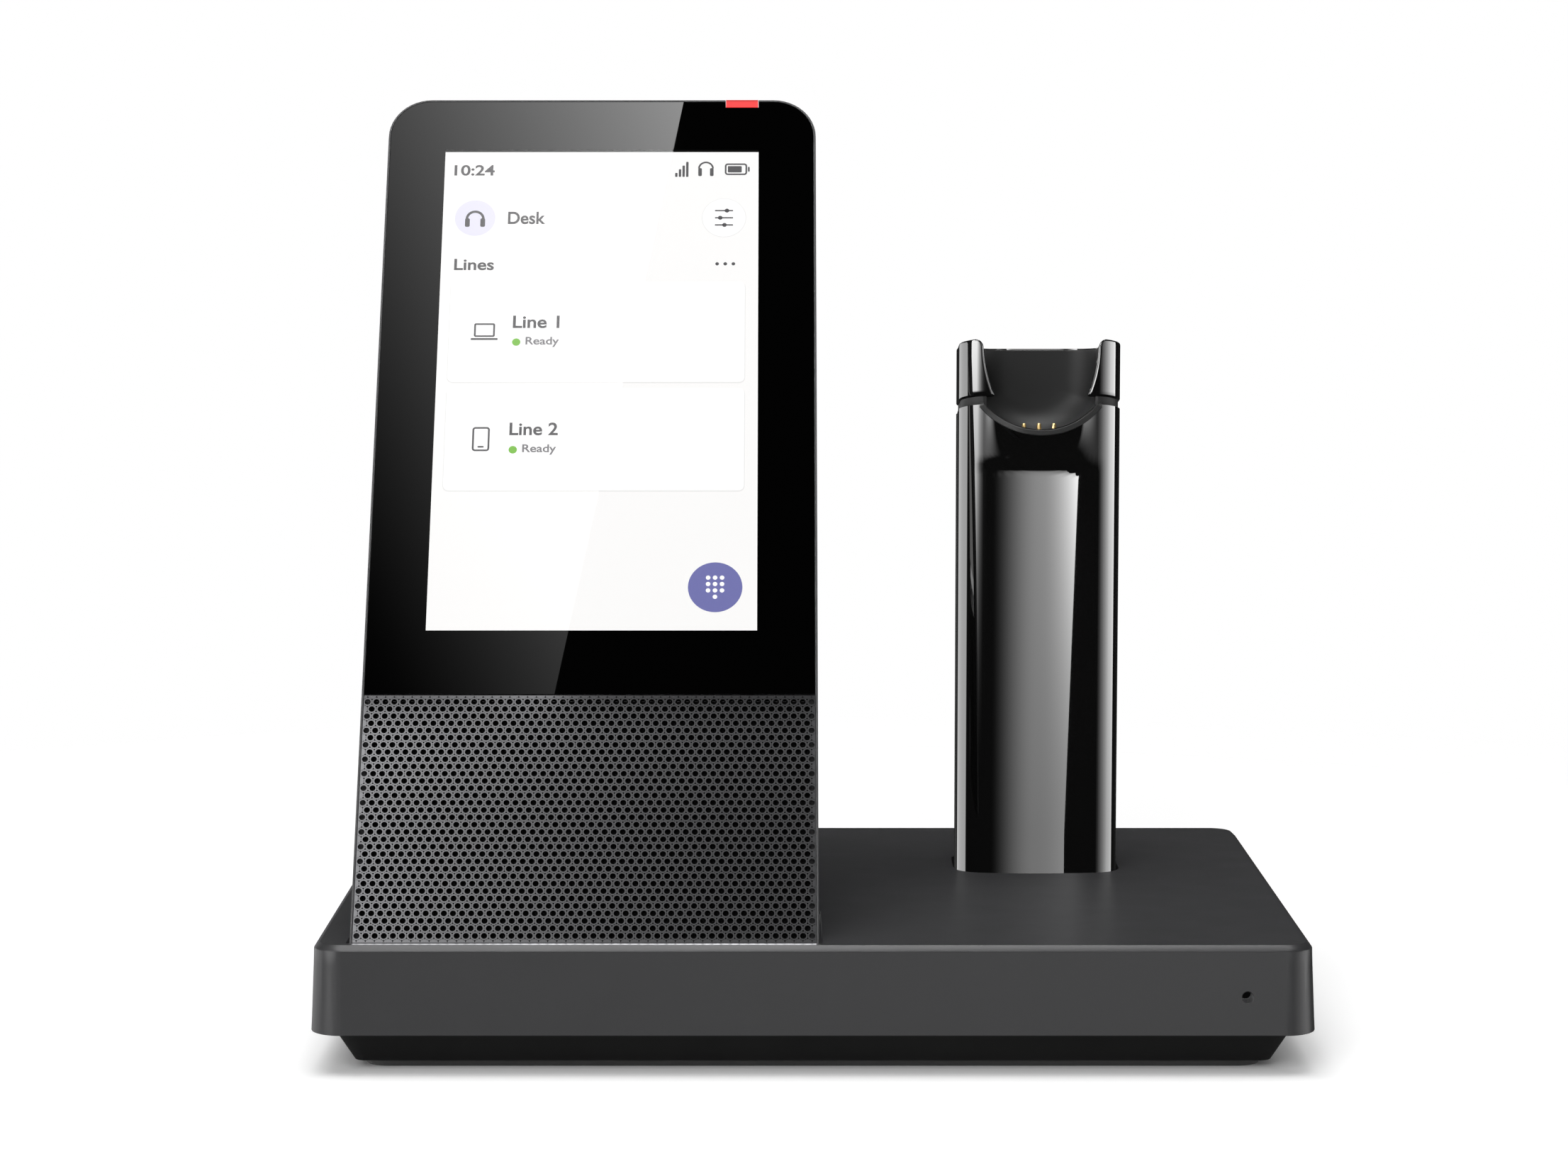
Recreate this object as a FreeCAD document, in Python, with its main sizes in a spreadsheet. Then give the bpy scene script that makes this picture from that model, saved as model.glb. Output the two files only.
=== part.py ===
"""Desk phone dock: a tray base, a leaning touch-screen unit and a headset charging post.

Millimetres. The origin is on the desk under the middle of the base, +X right, +Y back, +Z up.
"""
import FreeCAD, Part
import Sketcher
import math
import os

V = FreeCAD.Vector

SIZES = {
    # Base: a drafted top cover over a tapered lower shell on a rubber pad
    "base_width": 152.3,
    "base_depth": 107.7,
    "base_corner": 5.0,
    "cover_height": 13.65,
    "cover_draft": 2.55,
    "cover_chamfer": 0.87,
    "cover_wall": 2.0,
    "shell_height": 5.2,
    "shell_inset": 2.9,
    "shell_taper": 33.0,
    "shell_floor": 1.8,
    "shell_plate": 2.0,
    "pad_height": 1.15,
    "pad_margin": 1.4,
    "fit_gap": 0.15,
    # Fastenings inside the base
    "boss_inset_x": 6.4,
    "boss_inset_y": 9.6,
    "boss_diameter": 6.0,
    "screw_diameter": 2.5,
    "screw_head_diameter": 4.6,
    "screw_head_height": 1.0,
    "screw_depth": 6.0,
    # Circuit board of the base and its sockets
    "board_gap": 4.5,
    "board_margin": 1.5,
    "board_thickness": 1.6,
    "board_lift": 4.0,
    "chip_side": 9.0,
    "chip_height": 1.2,
    "chip_spacing": 15.0,
    "socket_offset": 0.4,
    "usb_a_width": 13.2,
    "usb_a_height": 5.8,
    "usb_a_length": 14.0,
    "usb_a_well": 9.1,
    "usb_a_spacing": 19.0,
    "usb_a_centre": 14.0,
    "usb_c_width": 8.94,
    "usb_c_height": 3.2,
    "usb_c_length": 10.0,
    "usb_c_well": 6.5,
    "usb_c_centre": -14.0,
    "jack_width": 8.0,
    "jack_height": 6.5,
    "jack_length": 12.0,
    "jack_well": 9.0,
    "jack_bore": 4.3,
    "jack_pin": 1.65,
    "jack_centre": -32.0,
    "socket_wall": 0.35,
    "tongue_gap": 0.7,
    "socket_gap": 0.2,
    # Microphone behind the front wall
    "mic_inset": 10.75,
    "mic_height": 12.2,
    "mic_hole": 1.72,
    "mic_diameter": 4.0,
    "mic_length": 1.6,
    "mic_boot_diameter": 6.4,
    "mic_boot_lip": 1.0,
    # Screen unit, measured in its leaning face
    "screen_inset": 6.12,
    "screen_width": 70.9,
    "screen_lean": 30.0,
    "screen_setback": 1.7,
    "screen_height": 147.68,
    "screen_corner": 7.0,
    "seat_depth": 0.6,
    "seat_gap": 0.5,
    "bezel_depth": 7.0,
    "bezel_rim": 0.35,
    "housing_top": 11.0,
    "housing_foot": 22.0,
    "housing_wall": 1.8,
    "housing_edge": 3.0,
    "face_gap": 0.06,
    "glass_thickness": 1.1,
    "glass_bottom": 40.6,
    "glue_line": 0.05,
    # Display behind the glass
    "display_margin": 7.25,
    "display_bottom": 47.3,
    "display_head": 5.78,
    "display_thickness": 2.6,
    "display_gap": 0.3,
    "tray_thickness": 0.4,
    "screen_board_side": 1.2,
    "screen_board_low": 14.7,
    "screen_board_high": 7.9,
    "screen_board_thickness": 1.2,
    "stand_diameter": 4.0,
    "screen_board_depth": 6.6,
    "shield_side": 26.0,
    "shield_height": 1.6,
    # Loudspeaker behind the perforated grille
    "grille_gap": 0.24,
    "grille_thickness": 0.8,
    "hole_pitch": 1.378,
    "hole_diameter": 0.78,
    "hole_step": 3.0,
    "hole_margin": 1.1,
    "cloth_margin": 1.0,
    "speaker_level": 23.0,
    "speaker_diameter": 33.0,
    "speaker_flange": 1.2,
    "speaker_bore": 28.0,
    "speaker_depth": 7.0,
    "speaker_sheet": 0.8,
    "magnet_diameter": 20.0,
    "magnet_height": 5.0,
    "baffle_thickness": 1.6,
    "cone_dome": 9.0,
    "cone_thickness": 0.4,
    # Busy light at the top edge
    "light_inset": 12.26,
    "light_width": 5.46,
    "light_height": 1.4,
    "light_depth": 5.5,
    "led_width": 2.8,
    "led_height": 0.6,
    "led_depth": 0.8,
    # Sheet brackets that carry the screen unit
    "bracket_sheet": 1.5,
    "bracket_width": 10.0,
    "bracket_spread": 40.0,
    "bracket_depth": 10.0,
    "bracket_reach": 55.0,
    "bracket_flange": 22.0,
    "bracket_drop": 3.5,
    "ribbon_width": 4.0,
    "ribbon_sheet": 0.3,
    "ribbon_offset": 12.5,
    "ribbon_depth": 13.0,
    "ribbon_tail": 8.0,
    # Charging post
    "post_inset": 38.3,
    "post_offset": 8.03,
    "post_width": 26.7,
    "post_depth": 18.0,
    "post_corner": 4.5,
    "post_crown": 60.0,
    "post_wall": 1.6,
    "post_gap": 0.45,
    "post_drop": 5.4,
    "foot_thickness": 1.6,
    "foot_width": 48.0,
    "foot_depth": 24.0,
    "foot_boss_span": 38.0,
    # Head of the post: cup, lip, chin and yoke
    "head_slope": 9.8,
    "groove_level": 78.4,
    "groove_height": 1.35,
    "yoke_height": 9.5,
    "yoke_edge": 0.7,
    "mouth_top": 19.0,
    "mouth_bottom": 15.4,
    "mouth_curve": 24.0,
    "mouth_depth": 2.2,
    "cup_width": 18.4,
    "cup_floor": 73.0,
    "cup_sag": 4.9,
    "cup_depth": 14.0,
    "cup_blend": 5.0,
    "cup_skin": 1.3,
    "cup_plug": 62.0,
    "lip_reach": 2.2,
    "lip_wall": 0.93,
    "lip_rise": 0.89,
    "lip_rim": 5.4,
    "lip_side": 0.25,
    "lip_proud": 0.25,
    "chin_height": 6.0,
    "chin_widen": 0.5,
    "chin_edge": 0.6,
    # Sprung contacts in the cup
    "contact_pitch": 2.5,
    "contact_setback": 5.2,
    "pin_diameter": 0.75,
    "pin_rise": 1.55,
    "pin_clearance": 0.05,
    "collar_diameter": 1.3,
    "collar_height": 0.6,
    "spring_length": 3.2,
    "spring_sheet": 0.2,
    "block_width": 9.0,
    "block_depth": 4.0,
    "block_floor": 0.8,
    "contact_board_width": 16.0,
    "contact_board_depth": 8.0,
    "contact_board_thickness": 1.0,
}


class Size:
    """A size that carries its number and the sheet expression that a feature is bound to."""

    def __init__(self, number, text=None):
        self.number = float(number)
        self.text = text or f"({self.number:.6f})"

    def __add__(self, other):
        other = as_size(other)
        return Size(self.number + other.number, f"({self.text} + {other.text})")

    def __sub__(self, other):
        other = as_size(other)
        return Size(self.number - other.number, f"({self.text} - {other.text})")

    def __mul__(self, other):
        other = as_size(other)
        return Size(self.number * other.number, f"({self.text} * {other.text})")

    def __truediv__(self, other):
        other = as_size(other)
        return Size(self.number / other.number, f"({self.text} / {other.text})")

    def __radd__(self, other):
        return as_size(other) + self

    def __rsub__(self, other):
        return as_size(other) - self

    def __rmul__(self, other):
        return as_size(other) * self

    def __neg__(self):
        return 0 - self


def as_size(value):
    return value if isinstance(value, Size) else Size(value)


def sine(angle):
    return Size(math.sin(math.radians(angle.number)), f"sin({angle.text})")


def cosine(angle):
    return Size(math.cos(math.radians(angle.number)), f"cos({angle.text})")


def tangent(angle):
    return Size(math.tan(math.radians(angle.number)), f"tan({angle.text})")


class Sheet:
    """The spreadsheet of driving dimensions. An attribute gives the size of that name."""

    def __init__(self, document):
        cells = document.addObject("Spreadsheet::Sheet", "Sizes")
        for row, (name, number) in enumerate(SIZES.items(), start=1):
            cells.set(f"A{row}", name)
            cells.set(f"B{row}", str(number))
            cells.setAlias(f"B{row}", name)
        document.recompute()
        self.cells = cells

    def __getattr__(self, name):
        return Size(self.cells.get(name), f"Sizes.{name}")


doc = FreeCAD.newDocument("DeskPhoneDock")
d = Sheet(doc)
pieces = []

# Which way along its own world axis a sketch plane faces
FACING = {"XY": 1, "XZ": -1, "YZ": 1}
FORWARD = 1
BACKWARD = -1


def bind(thing, **sizes):
    """Ties properties of a document object to the sheet."""
    for name, size in sizes.items():
        thing.setExpression(name, as_size(size).text)


def place(thing, x, y, z, turn=None, axis=V(1, 0, 0)):
    """Puts a document object at a point, turned by an angle in degrees about an axis."""
    if turn is not None:
        thing.Placement = FreeCAD.Placement(V(0, 0, 0), FreeCAD.Rotation(axis, turn))
    for name, size in (("x", x), ("y", y), ("z", z)):
        thing.setExpression(f"Placement.Base.{name}", as_size(size).text)


def keep(thing, label):
    """Lists a document object as a sub-part of its own."""
    thing.Label = label
    pieces.append(thing)
    return thing


class Piece:
    """A sub-part made as a body of sketched features."""

    def __init__(self, label):
        self.body = doc.addObject("PartDesign::Body", label)
        self.planes = {}
        keep(self.body, label)

    def add(self, kind, name):
        return self.body.newObject(kind, f"{self.body.Name}_{name}")

    def done(self, feature):
        """Computes a feature that has just been set up, and stops at one that fails."""
        doc.recompute()
        if "Invalid" in feature.State or feature.Shape.isNull() or not feature.Shape.isValid():
            raise RuntimeError(f"{feature.Label}: {feature.getStatusString()}")
        return feature

    def sketch(self, plane, level=0):
        """Starts a sketch on an origin plane, moved to a level along that plane's world axis."""
        drawing = self.add("Sketcher::SketchObject", "sketch")
        origin = self.body.Origin.OriginFeatures
        drawing.AttachmentSupport = (next(f for f in origin if f.Role == f"{plane}_Plane"), [""])
        drawing.MapMode = "FlatFace"
        drawing.setExpression("AttachmentOffset.Base.z", (FACING[plane] * as_size(level)).text)
        self.planes[drawing.Name] = plane
        return drawing

    def lean_sketch(self, behind):
        """Starts a sketch on the plane at a depth behind the screen's face: X across, Y up the face."""
        drawing = self.sketch("XZ")
        y, z = face_point(Size(0), behind)
        lean = FreeCAD.Rotation(V(1, 0, 0), -d.screen_lean.number)
        drawing.AttachmentOffset = FreeCAD.Placement(V(0, 0, 0), lean)
        drawing.setExpression("AttachmentOffset.Base.y", z.text)
        drawing.setExpression("AttachmentOffset.Base.z", (-y).text)
        return drawing

    def pad(self, drawing, length, way=FORWARD, both=False, taper=None):
        feature = self.add("PartDesign::Pad", "pad")
        feature.Profile = drawing
        bind(feature, Length=length)
        if taper is not None:
            bind(feature, TaperAngle=taper)
        feature.SideType = "Symmetric" if both else "One side"
        feature.Reversed = way != FACING[self.planes[drawing.Name]]
        return self.done(feature)

    def pocket(self, drawing, length, way=BACKWARD, both=False):
        before = self.body.Shape.Volume
        feature = self.add("PartDesign::Pocket", "pocket")
        feature.Profile = drawing
        bind(feature, Length=length)
        feature.SideType = "Symmetric" if both else "One side"
        feature.Reversed = way == FACING[self.planes[drawing.Name]]
        self.done(feature)
        if self.body.Shape.Volume >= before:
            raise RuntimeError(f"{feature.Label}: a pocket cuts nothing")
        return feature

    def spin(self, drawing):
        """Turns a half profile round the sketch's own upright axis."""
        feature = self.add("PartDesign::Revolution", "spin")
        feature.Profile = drawing
        feature.ReferenceAxis = (drawing, ["V_Axis"])
        feature.Angle = 360
        return self.done(feature)

    def loft(self, first, *others):
        feature = self.add("PartDesign::AdditiveLoft", "loft")
        feature.Profile = first
        feature.Sections = list(others)
        return self.done(feature)

    def hollow(self, wall, test):
        """Turns the solid into a shell of a wall thickness, open at the faces that pass a test."""
        base = self.body.Tip
        names = [f"Face{i}" for i, face in enumerate(base.Shape.Faces, start=1) if test(face)]
        feature = self.add("PartDesign::Thickness", "wall")
        feature.Base = (base, names)
        feature.Reversed = True
        feature.Join = "Intersection"
        bind(feature, Value=wall)
        return self.done(feature)

    def soften(self, kind, size, test):
        """Rounds or bevels the edges that pass a test."""
        base = self.body.Tip
        names = [f"Edge{i}" for i, edge in enumerate(base.Shape.Edges, start=1) if test(edge)]
        if not names:
            raise RuntimeError(f"{self.body.Label}: no edge to soften")
        feature = self.add(kind, "edge")
        feature.Base = (base, names)
        bind(feature, **({"Radius": size} if kind.endswith("Fillet") else {"Size": size}))
        return self.done(feature)

    def fillet(self, radius, test):
        return self.soften("PartDesign::Fillet", radius, test)

    def chamfer(self, size, test):
        return self.soften("PartDesign::Chamfer", size, test)


def fix(drawing, kind, *where, size):
    """Adds one dimension to a sketch and ties it to the sheet."""
    index = drawing.addConstraint(Sketcher.Constraint(kind, *where, size.number))
    drawing.setExpression(f"Constraints[{index}]", size.text)


def outline(drawing, corners, arcs=None):
    """Draws a closed outline, anticlockwise. arcs gives the radius of each side that bulges outwards,
    under the number of the corner that the side starts from."""
    arcs = arcs or {}
    first = drawing.GeometryCount
    corners = [(as_size(x), as_size(y)) for x, y in corners]
    points = [V(x.number, y.number, 0) for x, y in corners]
    count = len(points)
    for i, start in enumerate(points):
        end = points[(i + 1) % count]
        if i in arcs:
            side = end - start
            half = side.Length / 2
            radius = arcs[i].number
            rise = radius - math.sqrt(radius ** 2 - half ** 2)
            middle = (start + end) / 2 + V(side.y, -side.x, 0).normalize() * rise
            drawing.addGeometry(Part.Arc(start, middle, end), False)
        else:
            drawing.addGeometry(Part.LineSegment(start, end), False)
    for i in range(count):
        following = first + (i + 1) % count
        drawing.addConstraint(Sketcher.Constraint("Coincident", first + i, 2, following, 1))
    for i, (x, y) in enumerate(corners):
        fix(drawing, "DistanceX", -1, 1, first + i, 1, size=x)
        fix(drawing, "DistanceY", -1, 1, first + i, 1, size=y)
    for i, radius in arcs.items():
        fix(drawing, "Radius", first + i, size=radius)
    return drawing


def rectangle(drawing, left, right, low, high):
    return outline(drawing, [(left, low), (right, low), (right, high), (left, high)])


def arched(drawing, half, low, high, corner):
    """A rectangle about the middle line with rounded upper corners."""
    return outline(drawing, [(-half, low), (half, low), (half, high - corner), (half - corner, high),
                             (corner - half, high), (-half, high - corner)], {2: corner, 4: corner})


def centred(drawing, width, depth):
    return rectangle(drawing, -width / 2, width / 2, -depth / 2, depth / 2)


def rounded(drawing, width, depth, corner):
    """A rectangle about the origin with four round corners."""
    x, y = width / 2, depth / 2
    return outline(drawing, [(corner - x, -y), (x - corner, -y), (x, corner - y), (x, y - corner),
                             (x - corner, y), (corner - x, y), (-x, y - corner), (-x, corner - y)],
                   {1: corner, 3: corner, 5: corner, 7: corner})


def ring(drawing, x, y, diameter):
    """Adds a circle to a sketch."""
    x, y, diameter = as_size(x), as_size(y), as_size(diameter)
    index = drawing.addGeometry(Part.Circle(V(x.number, y.number, 0), V(0, 0, 1), diameter.number / 2), False)
    fix(drawing, "DistanceX", -1, 1, index, 3, size=x)
    fix(drawing, "DistanceY", -1, 1, index, 3, size=y)
    fix(drawing, "Diameter", index, size=diameter)
    return drawing


def rises(edge):
    """True for an edge that stands up, or nearly."""
    return abs(edge.Vertexes[0].Z - edge.Vertexes[-1].Z) > 0.6 * edge.Length


def level_at(height):
    """Tests for an edge that lies level at a height."""
    return lambda edge: max(abs(v.Z - height.number) for v in edge.Vertexes) < 1e-4


# Levels and lines that several pieces share
cover_bottom = d.pad_height + d.shell_height
top_level = cover_bottom + d.cover_height
ceiling = top_level - d.cover_wall
cover_lean_in = d.cover_height * tangent(d.cover_draft)
cavity_inset = d.cover_wall + cover_lean_in
cavity_width = d.base_width - 2 * cavity_inset
cavity_depth = d.base_depth - 2 * cavity_inset
cavity_corner = d.base_corner - d.cover_wall
top_front = d.cover_chamfer + cover_lean_in - d.base_depth / 2
shell_top_width = d.base_width - 2 * d.shell_inset
shell_top_depth = d.base_depth - 2 * d.shell_inset
shell_lean_in = d.shell_height * tangent(d.shell_taper)
shell_foot_width = shell_top_width - 2 * shell_lean_in
shell_foot_depth = shell_top_depth - 2 * shell_lean_in
shell_floor_top = d.pad_height + d.shell_floor
board_bottom = shell_floor_top + d.board_lift
board_top = board_bottom + d.board_thickness
rear_wall = d.base_depth / 2
socket_mouth = rear_wall - cover_lean_in - d.socket_offset
usb_a_spots = [d.usb_a_centre + side * d.usb_a_spacing / 2 for side in (-1, 1)]
tray_width = shell_foot_width - 2 * d.cover_wall
tray_depth = shell_foot_depth - 2 * d.cover_wall
boss_x = shell_foot_width / 2 - d.boss_inset_x
boss_y = shell_foot_depth / 2 - d.boss_inset_y
boss_spots = [(sx * boss_x, sy * boss_y) for sx in (-1, 1) for sy in (-1, 1)]
board_width = 2 * (boss_x - d.boss_diameter / 2 - d.board_gap)
board_depth = tray_depth - 2 * d.board_margin
mic_x = d.base_width / 2 - d.mic_inset

# The leaning frame of the screen unit: X across, Y up along the face, Z out of the face
face_y = top_front + d.screen_setback
lean_sine = sine(d.screen_lean)
lean_cosine = cosine(d.screen_lean)
lean_turn = 90 - d.screen_lean.number
HALF_TURN = 180
half_screen = d.screen_width / 2
screen_x = half_screen + d.screen_inset - d.base_width / 2
light_x = half_screen - d.light_inset
display_width = d.screen_width - 2 * d.display_margin
display_height = d.screen_height - d.display_bottom - d.display_head
screen_board_width = display_width - 2 * d.screen_board_side
screen_board_bottom = d.display_bottom + d.screen_board_low
screen_board_top = d.display_bottom + display_height - d.screen_board_high
bracket_spots = [side * d.bracket_spread / 2 for side in (-1, 1)]
bracket_level = ceiling - d.bracket_drop

# The chin's sections, as shares of its way from the front wall out to the lip
CHIN_STEPS = (-0.8, 0, 0.5, 1)

# The post's own lines
post_x = d.base_width / 2 - d.post_inset
post_front = d.post_offset
post_back = post_front + d.post_depth
post_split = post_front + d.post_depth / 2
post_bottom = ceiling - d.post_drop
head_tangent = tangent(d.head_slope)
foot_boss_spots = [post_x + side * d.foot_boss_span / 2 for side in (-1, 1)]
contact_y = post_front + d.contact_setback
contact_spots = [post_x + step * d.contact_pitch for step in (-1, 0, 1)]
block_top = top_level + d.cup_floor - d.cup_skin
rim_drop = d.lip_wall - d.lip_rise


def in_face(thing):
    """Leans a piece that was drawn in the screen unit's own frame."""
    place(thing, screen_x, face_y, top_level, lean_turn)


def face_point(along, behind):
    """World Y and Z of a point on the screen unit's middle line."""
    y = face_y + along * lean_sine + behind * lean_cosine
    z = top_level + along * lean_cosine - behind * lean_sine
    return y, z


def along_at(level, behind):
    """How far up the leaning face a world level lies, at a depth behind the face."""
    return (level - top_level + behind * lean_sine) / lean_cosine


bracket_foot = bracket_level - d.bracket_sheet
bracket_front_y = face_point(along_at(bracket_foot, d.bracket_depth), d.bracket_depth)[0]
bracket_hole_y = bracket_front_y + d.bracket_flange - d.boss_diameter / 2
bracket_top_hole = d.bracket_reach - d.boss_diameter / 2


def face_box(label, left, width, low, height, front, thickness):
    """A flat block in the leaning frame, given by its depth behind the face."""
    block = keep(doc.addObject("Part::Box", label), label)
    bind(block, Length=width, Width=height, Height=thickness)
    y, z = face_point(low, front + thickness)
    place(block, screen_x + left, y, z, lean_turn)
    return block


def screw(name, x, y, z, length, turn=0):
    """A plain screw whose shank runs up from the underside of its head at x, y, z."""
    head = doc.addObject("Part::Cylinder", f"{name}_head")
    bind(head, Radius=d.screw_head_diameter / 2, Height=d.screw_head_height)
    shank = doc.addObject("Part::Cylinder", f"{name}_shank")
    bind(shank, Radius=d.screw_diameter / 2, Height=length + d.screw_head_height)
    body = doc.addObject("Part::Fuse", name)
    body.Base = head
    body.Tool = shank
    lean = math.radians(turn)
    drop_y = d.screw_head_height * math.sin(lean)
    drop_z = d.screw_head_height * math.cos(lean)
    place(body, x, y + drop_y, z - drop_z, turn)
    return body


def group(label, members):
    """Like fasteners as one sub-part of separate solids."""
    compound = keep(doc.addObject("Part::Compound", label), label)
    compound.Links = members
    return compound


# Base


def make_base_top_cover():
    cover = Piece("base_top_cover")
    cover.pad(rounded(cover.sketch("XY", cover_bottom), d.base_width, d.base_depth, d.base_corner),
              d.cover_height, taper=-d.cover_draft)
    cover.chamfer(d.cover_chamfer, level_at(top_level))
    hollow = rounded(cover.sketch("XY", cover_bottom), cavity_width, cavity_depth, cavity_corner)
    cover.pocket(hollow, d.cover_height - d.cover_wall, way=FORWARD)

    # Bosses for the case screws, the screen brackets and the post's foot plate
    drawing = cover.sketch("XY", ceiling)
    for x, y in boss_spots:
        ring(drawing, x, y, d.boss_diameter)
    cover.pad(drawing, ceiling - shell_floor_top, way=BACKWARD)
    drawing = cover.sketch("XY", ceiling)
    for x in bracket_spots:
        ring(drawing, screen_x + x, bracket_hole_y, d.boss_diameter)
    cover.pad(drawing, d.bracket_drop, way=BACKWARD)
    drawing = cover.sketch("XY", ceiling)
    for x in foot_boss_spots:
        ring(drawing, x, post_split, d.boss_diameter)
    cover.pad(drawing, d.post_drop, way=BACKWARD)

    # Screw holes up the bosses
    for level, spots in ((shell_floor_top, boss_spots),
                         (bracket_level, [(screen_x + x, bracket_hole_y) for x in bracket_spots]),
                         (post_bottom, [(x, post_split) for x in foot_boss_spots])):
        drawing = cover.sketch("XY", level)
        for x, y in spots:
            ring(drawing, x, y, d.screw_diameter)
        depth = d.screw_depth if level is shell_floor_top else ceiling - level
        cover.pocket(drawing, depth, way=FORWARD)

    # Shallow seat and slot under the screen unit
    seat_back = face_point(along_at(top_level - d.seat_depth, d.housing_foot), d.housing_foot)[0]
    seat = rectangle(cover.sketch("XY", top_level), screen_x - half_screen - d.seat_gap,
                     screen_x + half_screen + d.seat_gap, face_y - d.seat_gap, seat_back + d.seat_gap)
    cover.pocket(seat, d.seat_depth)
    slot_front = face_point(along_at(bracket_level, d.bracket_depth), d.bracket_depth)[0]
    slot_back = face_point(along_at(top_level, d.ribbon_depth), d.ribbon_depth + d.ribbon_sheet)[0]
    slot_side = (d.bracket_spread + d.bracket_width) / 2 + d.seat_gap
    slot = rectangle(cover.sketch("XY", top_level), screen_x - slot_side, screen_x + slot_side,
                     slot_front, slot_back + d.seat_gap)
    cover.pocket(slot, d.cover_wall)

    # Hole that the post stands in, microphone hole and the cut-outs of the rear sockets
    column = post_outline(cover.sketch("XY", top_level), -d.post_gap)
    cover.pocket(column, d.cover_wall)
    half_post = (d.post_width / 2 + d.post_gap).number
    cover.fillet(d.post_corner + d.post_gap, lambda edge: rises(edge)
                 and abs(abs(edge.CenterOfMass.x - post_x.number) - half_post) < 1e-3)
    hole = ring(cover.sketch("XZ", -rear_wall), mic_x, d.mic_height, d.mic_hole)
    cover.pocket(hole, cavity_inset + d.fit_gap, way=FORWARD)
    ports = cover.sketch("XZ", rear_wall)
    for x, width, height in socket_faces():
        rectangle(ports, x - width / 2 - d.socket_gap, x + width / 2 + d.socket_gap,
                  board_top - d.socket_gap, board_top + height + d.socket_gap)
    cover.pocket(ports, cavity_inset + d.fit_gap, way=BACKWARD)


def socket_faces():
    """Centre, width and height of each rear socket."""
    return [(usb_a_spots[0], d.usb_a_width, d.usb_a_height),
            (usb_a_spots[1], d.usb_a_width, d.usb_a_height),
            (d.usb_c_centre, d.usb_c_width, d.usb_c_height),
            (d.jack_centre, d.jack_width, d.jack_height)]


def make_base_bottom_cover():
    shell = Piece("base_bottom_cover")
    plate = rounded(shell.sketch("XY", cover_bottom), cavity_width - 2 * d.fit_gap,
                    cavity_depth - 2 * d.fit_gap, cavity_corner)
    shell.pad(plate, d.shell_plate)
    skirt = rounded(shell.sketch("XY", cover_bottom), shell_top_width, shell_top_depth, d.base_corner)
    shell.pad(skirt, d.shell_height, way=BACKWARD, taper=-d.shell_taper)
    tray = centred(shell.sketch("XY", cover_bottom + d.shell_plate), tray_width, tray_depth)
    shell.pocket(tray, d.shell_plate + d.shell_height - d.shell_floor)
    posts = shell.sketch("XY", shell_floor_top)
    for x, y in board_spots():
        ring(posts, x, y, d.boss_diameter)
    shell.pad(posts, d.board_lift)
    pilots = shell.sketch("XY", board_bottom)
    for x, y in board_spots():
        ring(pilots, x, y, d.screw_diameter)
    shell.pocket(pilots, d.board_lift)
    shanks = shell.sketch("XY", shell_floor_top)
    heads = shell.sketch("XY", d.pad_height)
    for x, y in boss_spots:
        ring(shanks, x, y, d.screw_diameter + 2 * d.fit_gap)
        ring(heads, x, y, d.screw_head_diameter + 2 * d.fit_gap)
    shell.pocket(shanks, d.shell_floor)
    shell.pocket(heads, d.screw_head_height, way=FORWARD)


def board_spots():
    """The places where the base's circuit board stands on the lower shell."""
    reach_x = board_width / 2 - d.boss_diameter / 2
    reach_y = board_depth / 2 - d.boss_diameter / 2
    return [(sx * reach_x, sy * reach_y) for sx in (-1, 1) for sy in (-1, 1)]


def make_rubber_base_pad():
    pad = Piece("rubber_base_pad")
    face = rounded(pad.sketch("XY"), shell_foot_width - 2 * d.pad_margin,
                   shell_foot_depth - 2 * d.pad_margin, d.base_corner - d.pad_margin)
    pad.pad(face, d.pad_height)


def make_base_board():
    board = Piece("base_board")
    board.pad(centred(board.sketch("XY", board_bottom), board_width, board_depth), d.board_thickness)
    holes = board.sketch("XY", board_top)
    for x, y in board_spots():
        ring(holes, x, y, d.screw_diameter)
    board.pocket(holes, d.board_thickness)


def make_board_chips():
    """A row of chips on the base's circuit board."""
    chips = []
    for i in range(3):
        chip = doc.addObject("Part::Box", f"chip_{i}")
        bind(chip, Length=d.chip_side, Width=d.chip_side, Height=d.chip_height)
        place(chip, (i - 1) * d.chip_spacing - d.chip_side / 2, -d.chip_side / 2, board_top)
        chips.append(chip)
    group("board_chips", chips)


def make_usb_a_socket(label, x):
    """A rectangular socket shell with its contact tongue, open to the back."""
    socket = Piece(label)
    low, high = board_top, board_top + d.usb_a_height
    left, right = x - d.usb_a_width / 2, x + d.usb_a_width / 2
    block = rectangle(socket.sketch("XZ", socket_mouth), left, right, low, high)
    socket.pad(block, d.usb_a_length, way=BACKWARD)
    wall = d.socket_wall
    well = rectangle(socket.sketch("XZ", socket_mouth), left + wall, right - wall, low + wall, high - wall)
    socket.pocket(well, d.usb_a_well, way=BACKWARD)
    inset = wall + d.tongue_gap
    tongue = rectangle(socket.sketch("XZ", socket_mouth - d.usb_a_well), left + inset, right - inset,
                       (low + high) / 2, high - inset)
    socket.pad(tongue, d.usb_a_well - wall, way=FORWARD)


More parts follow.
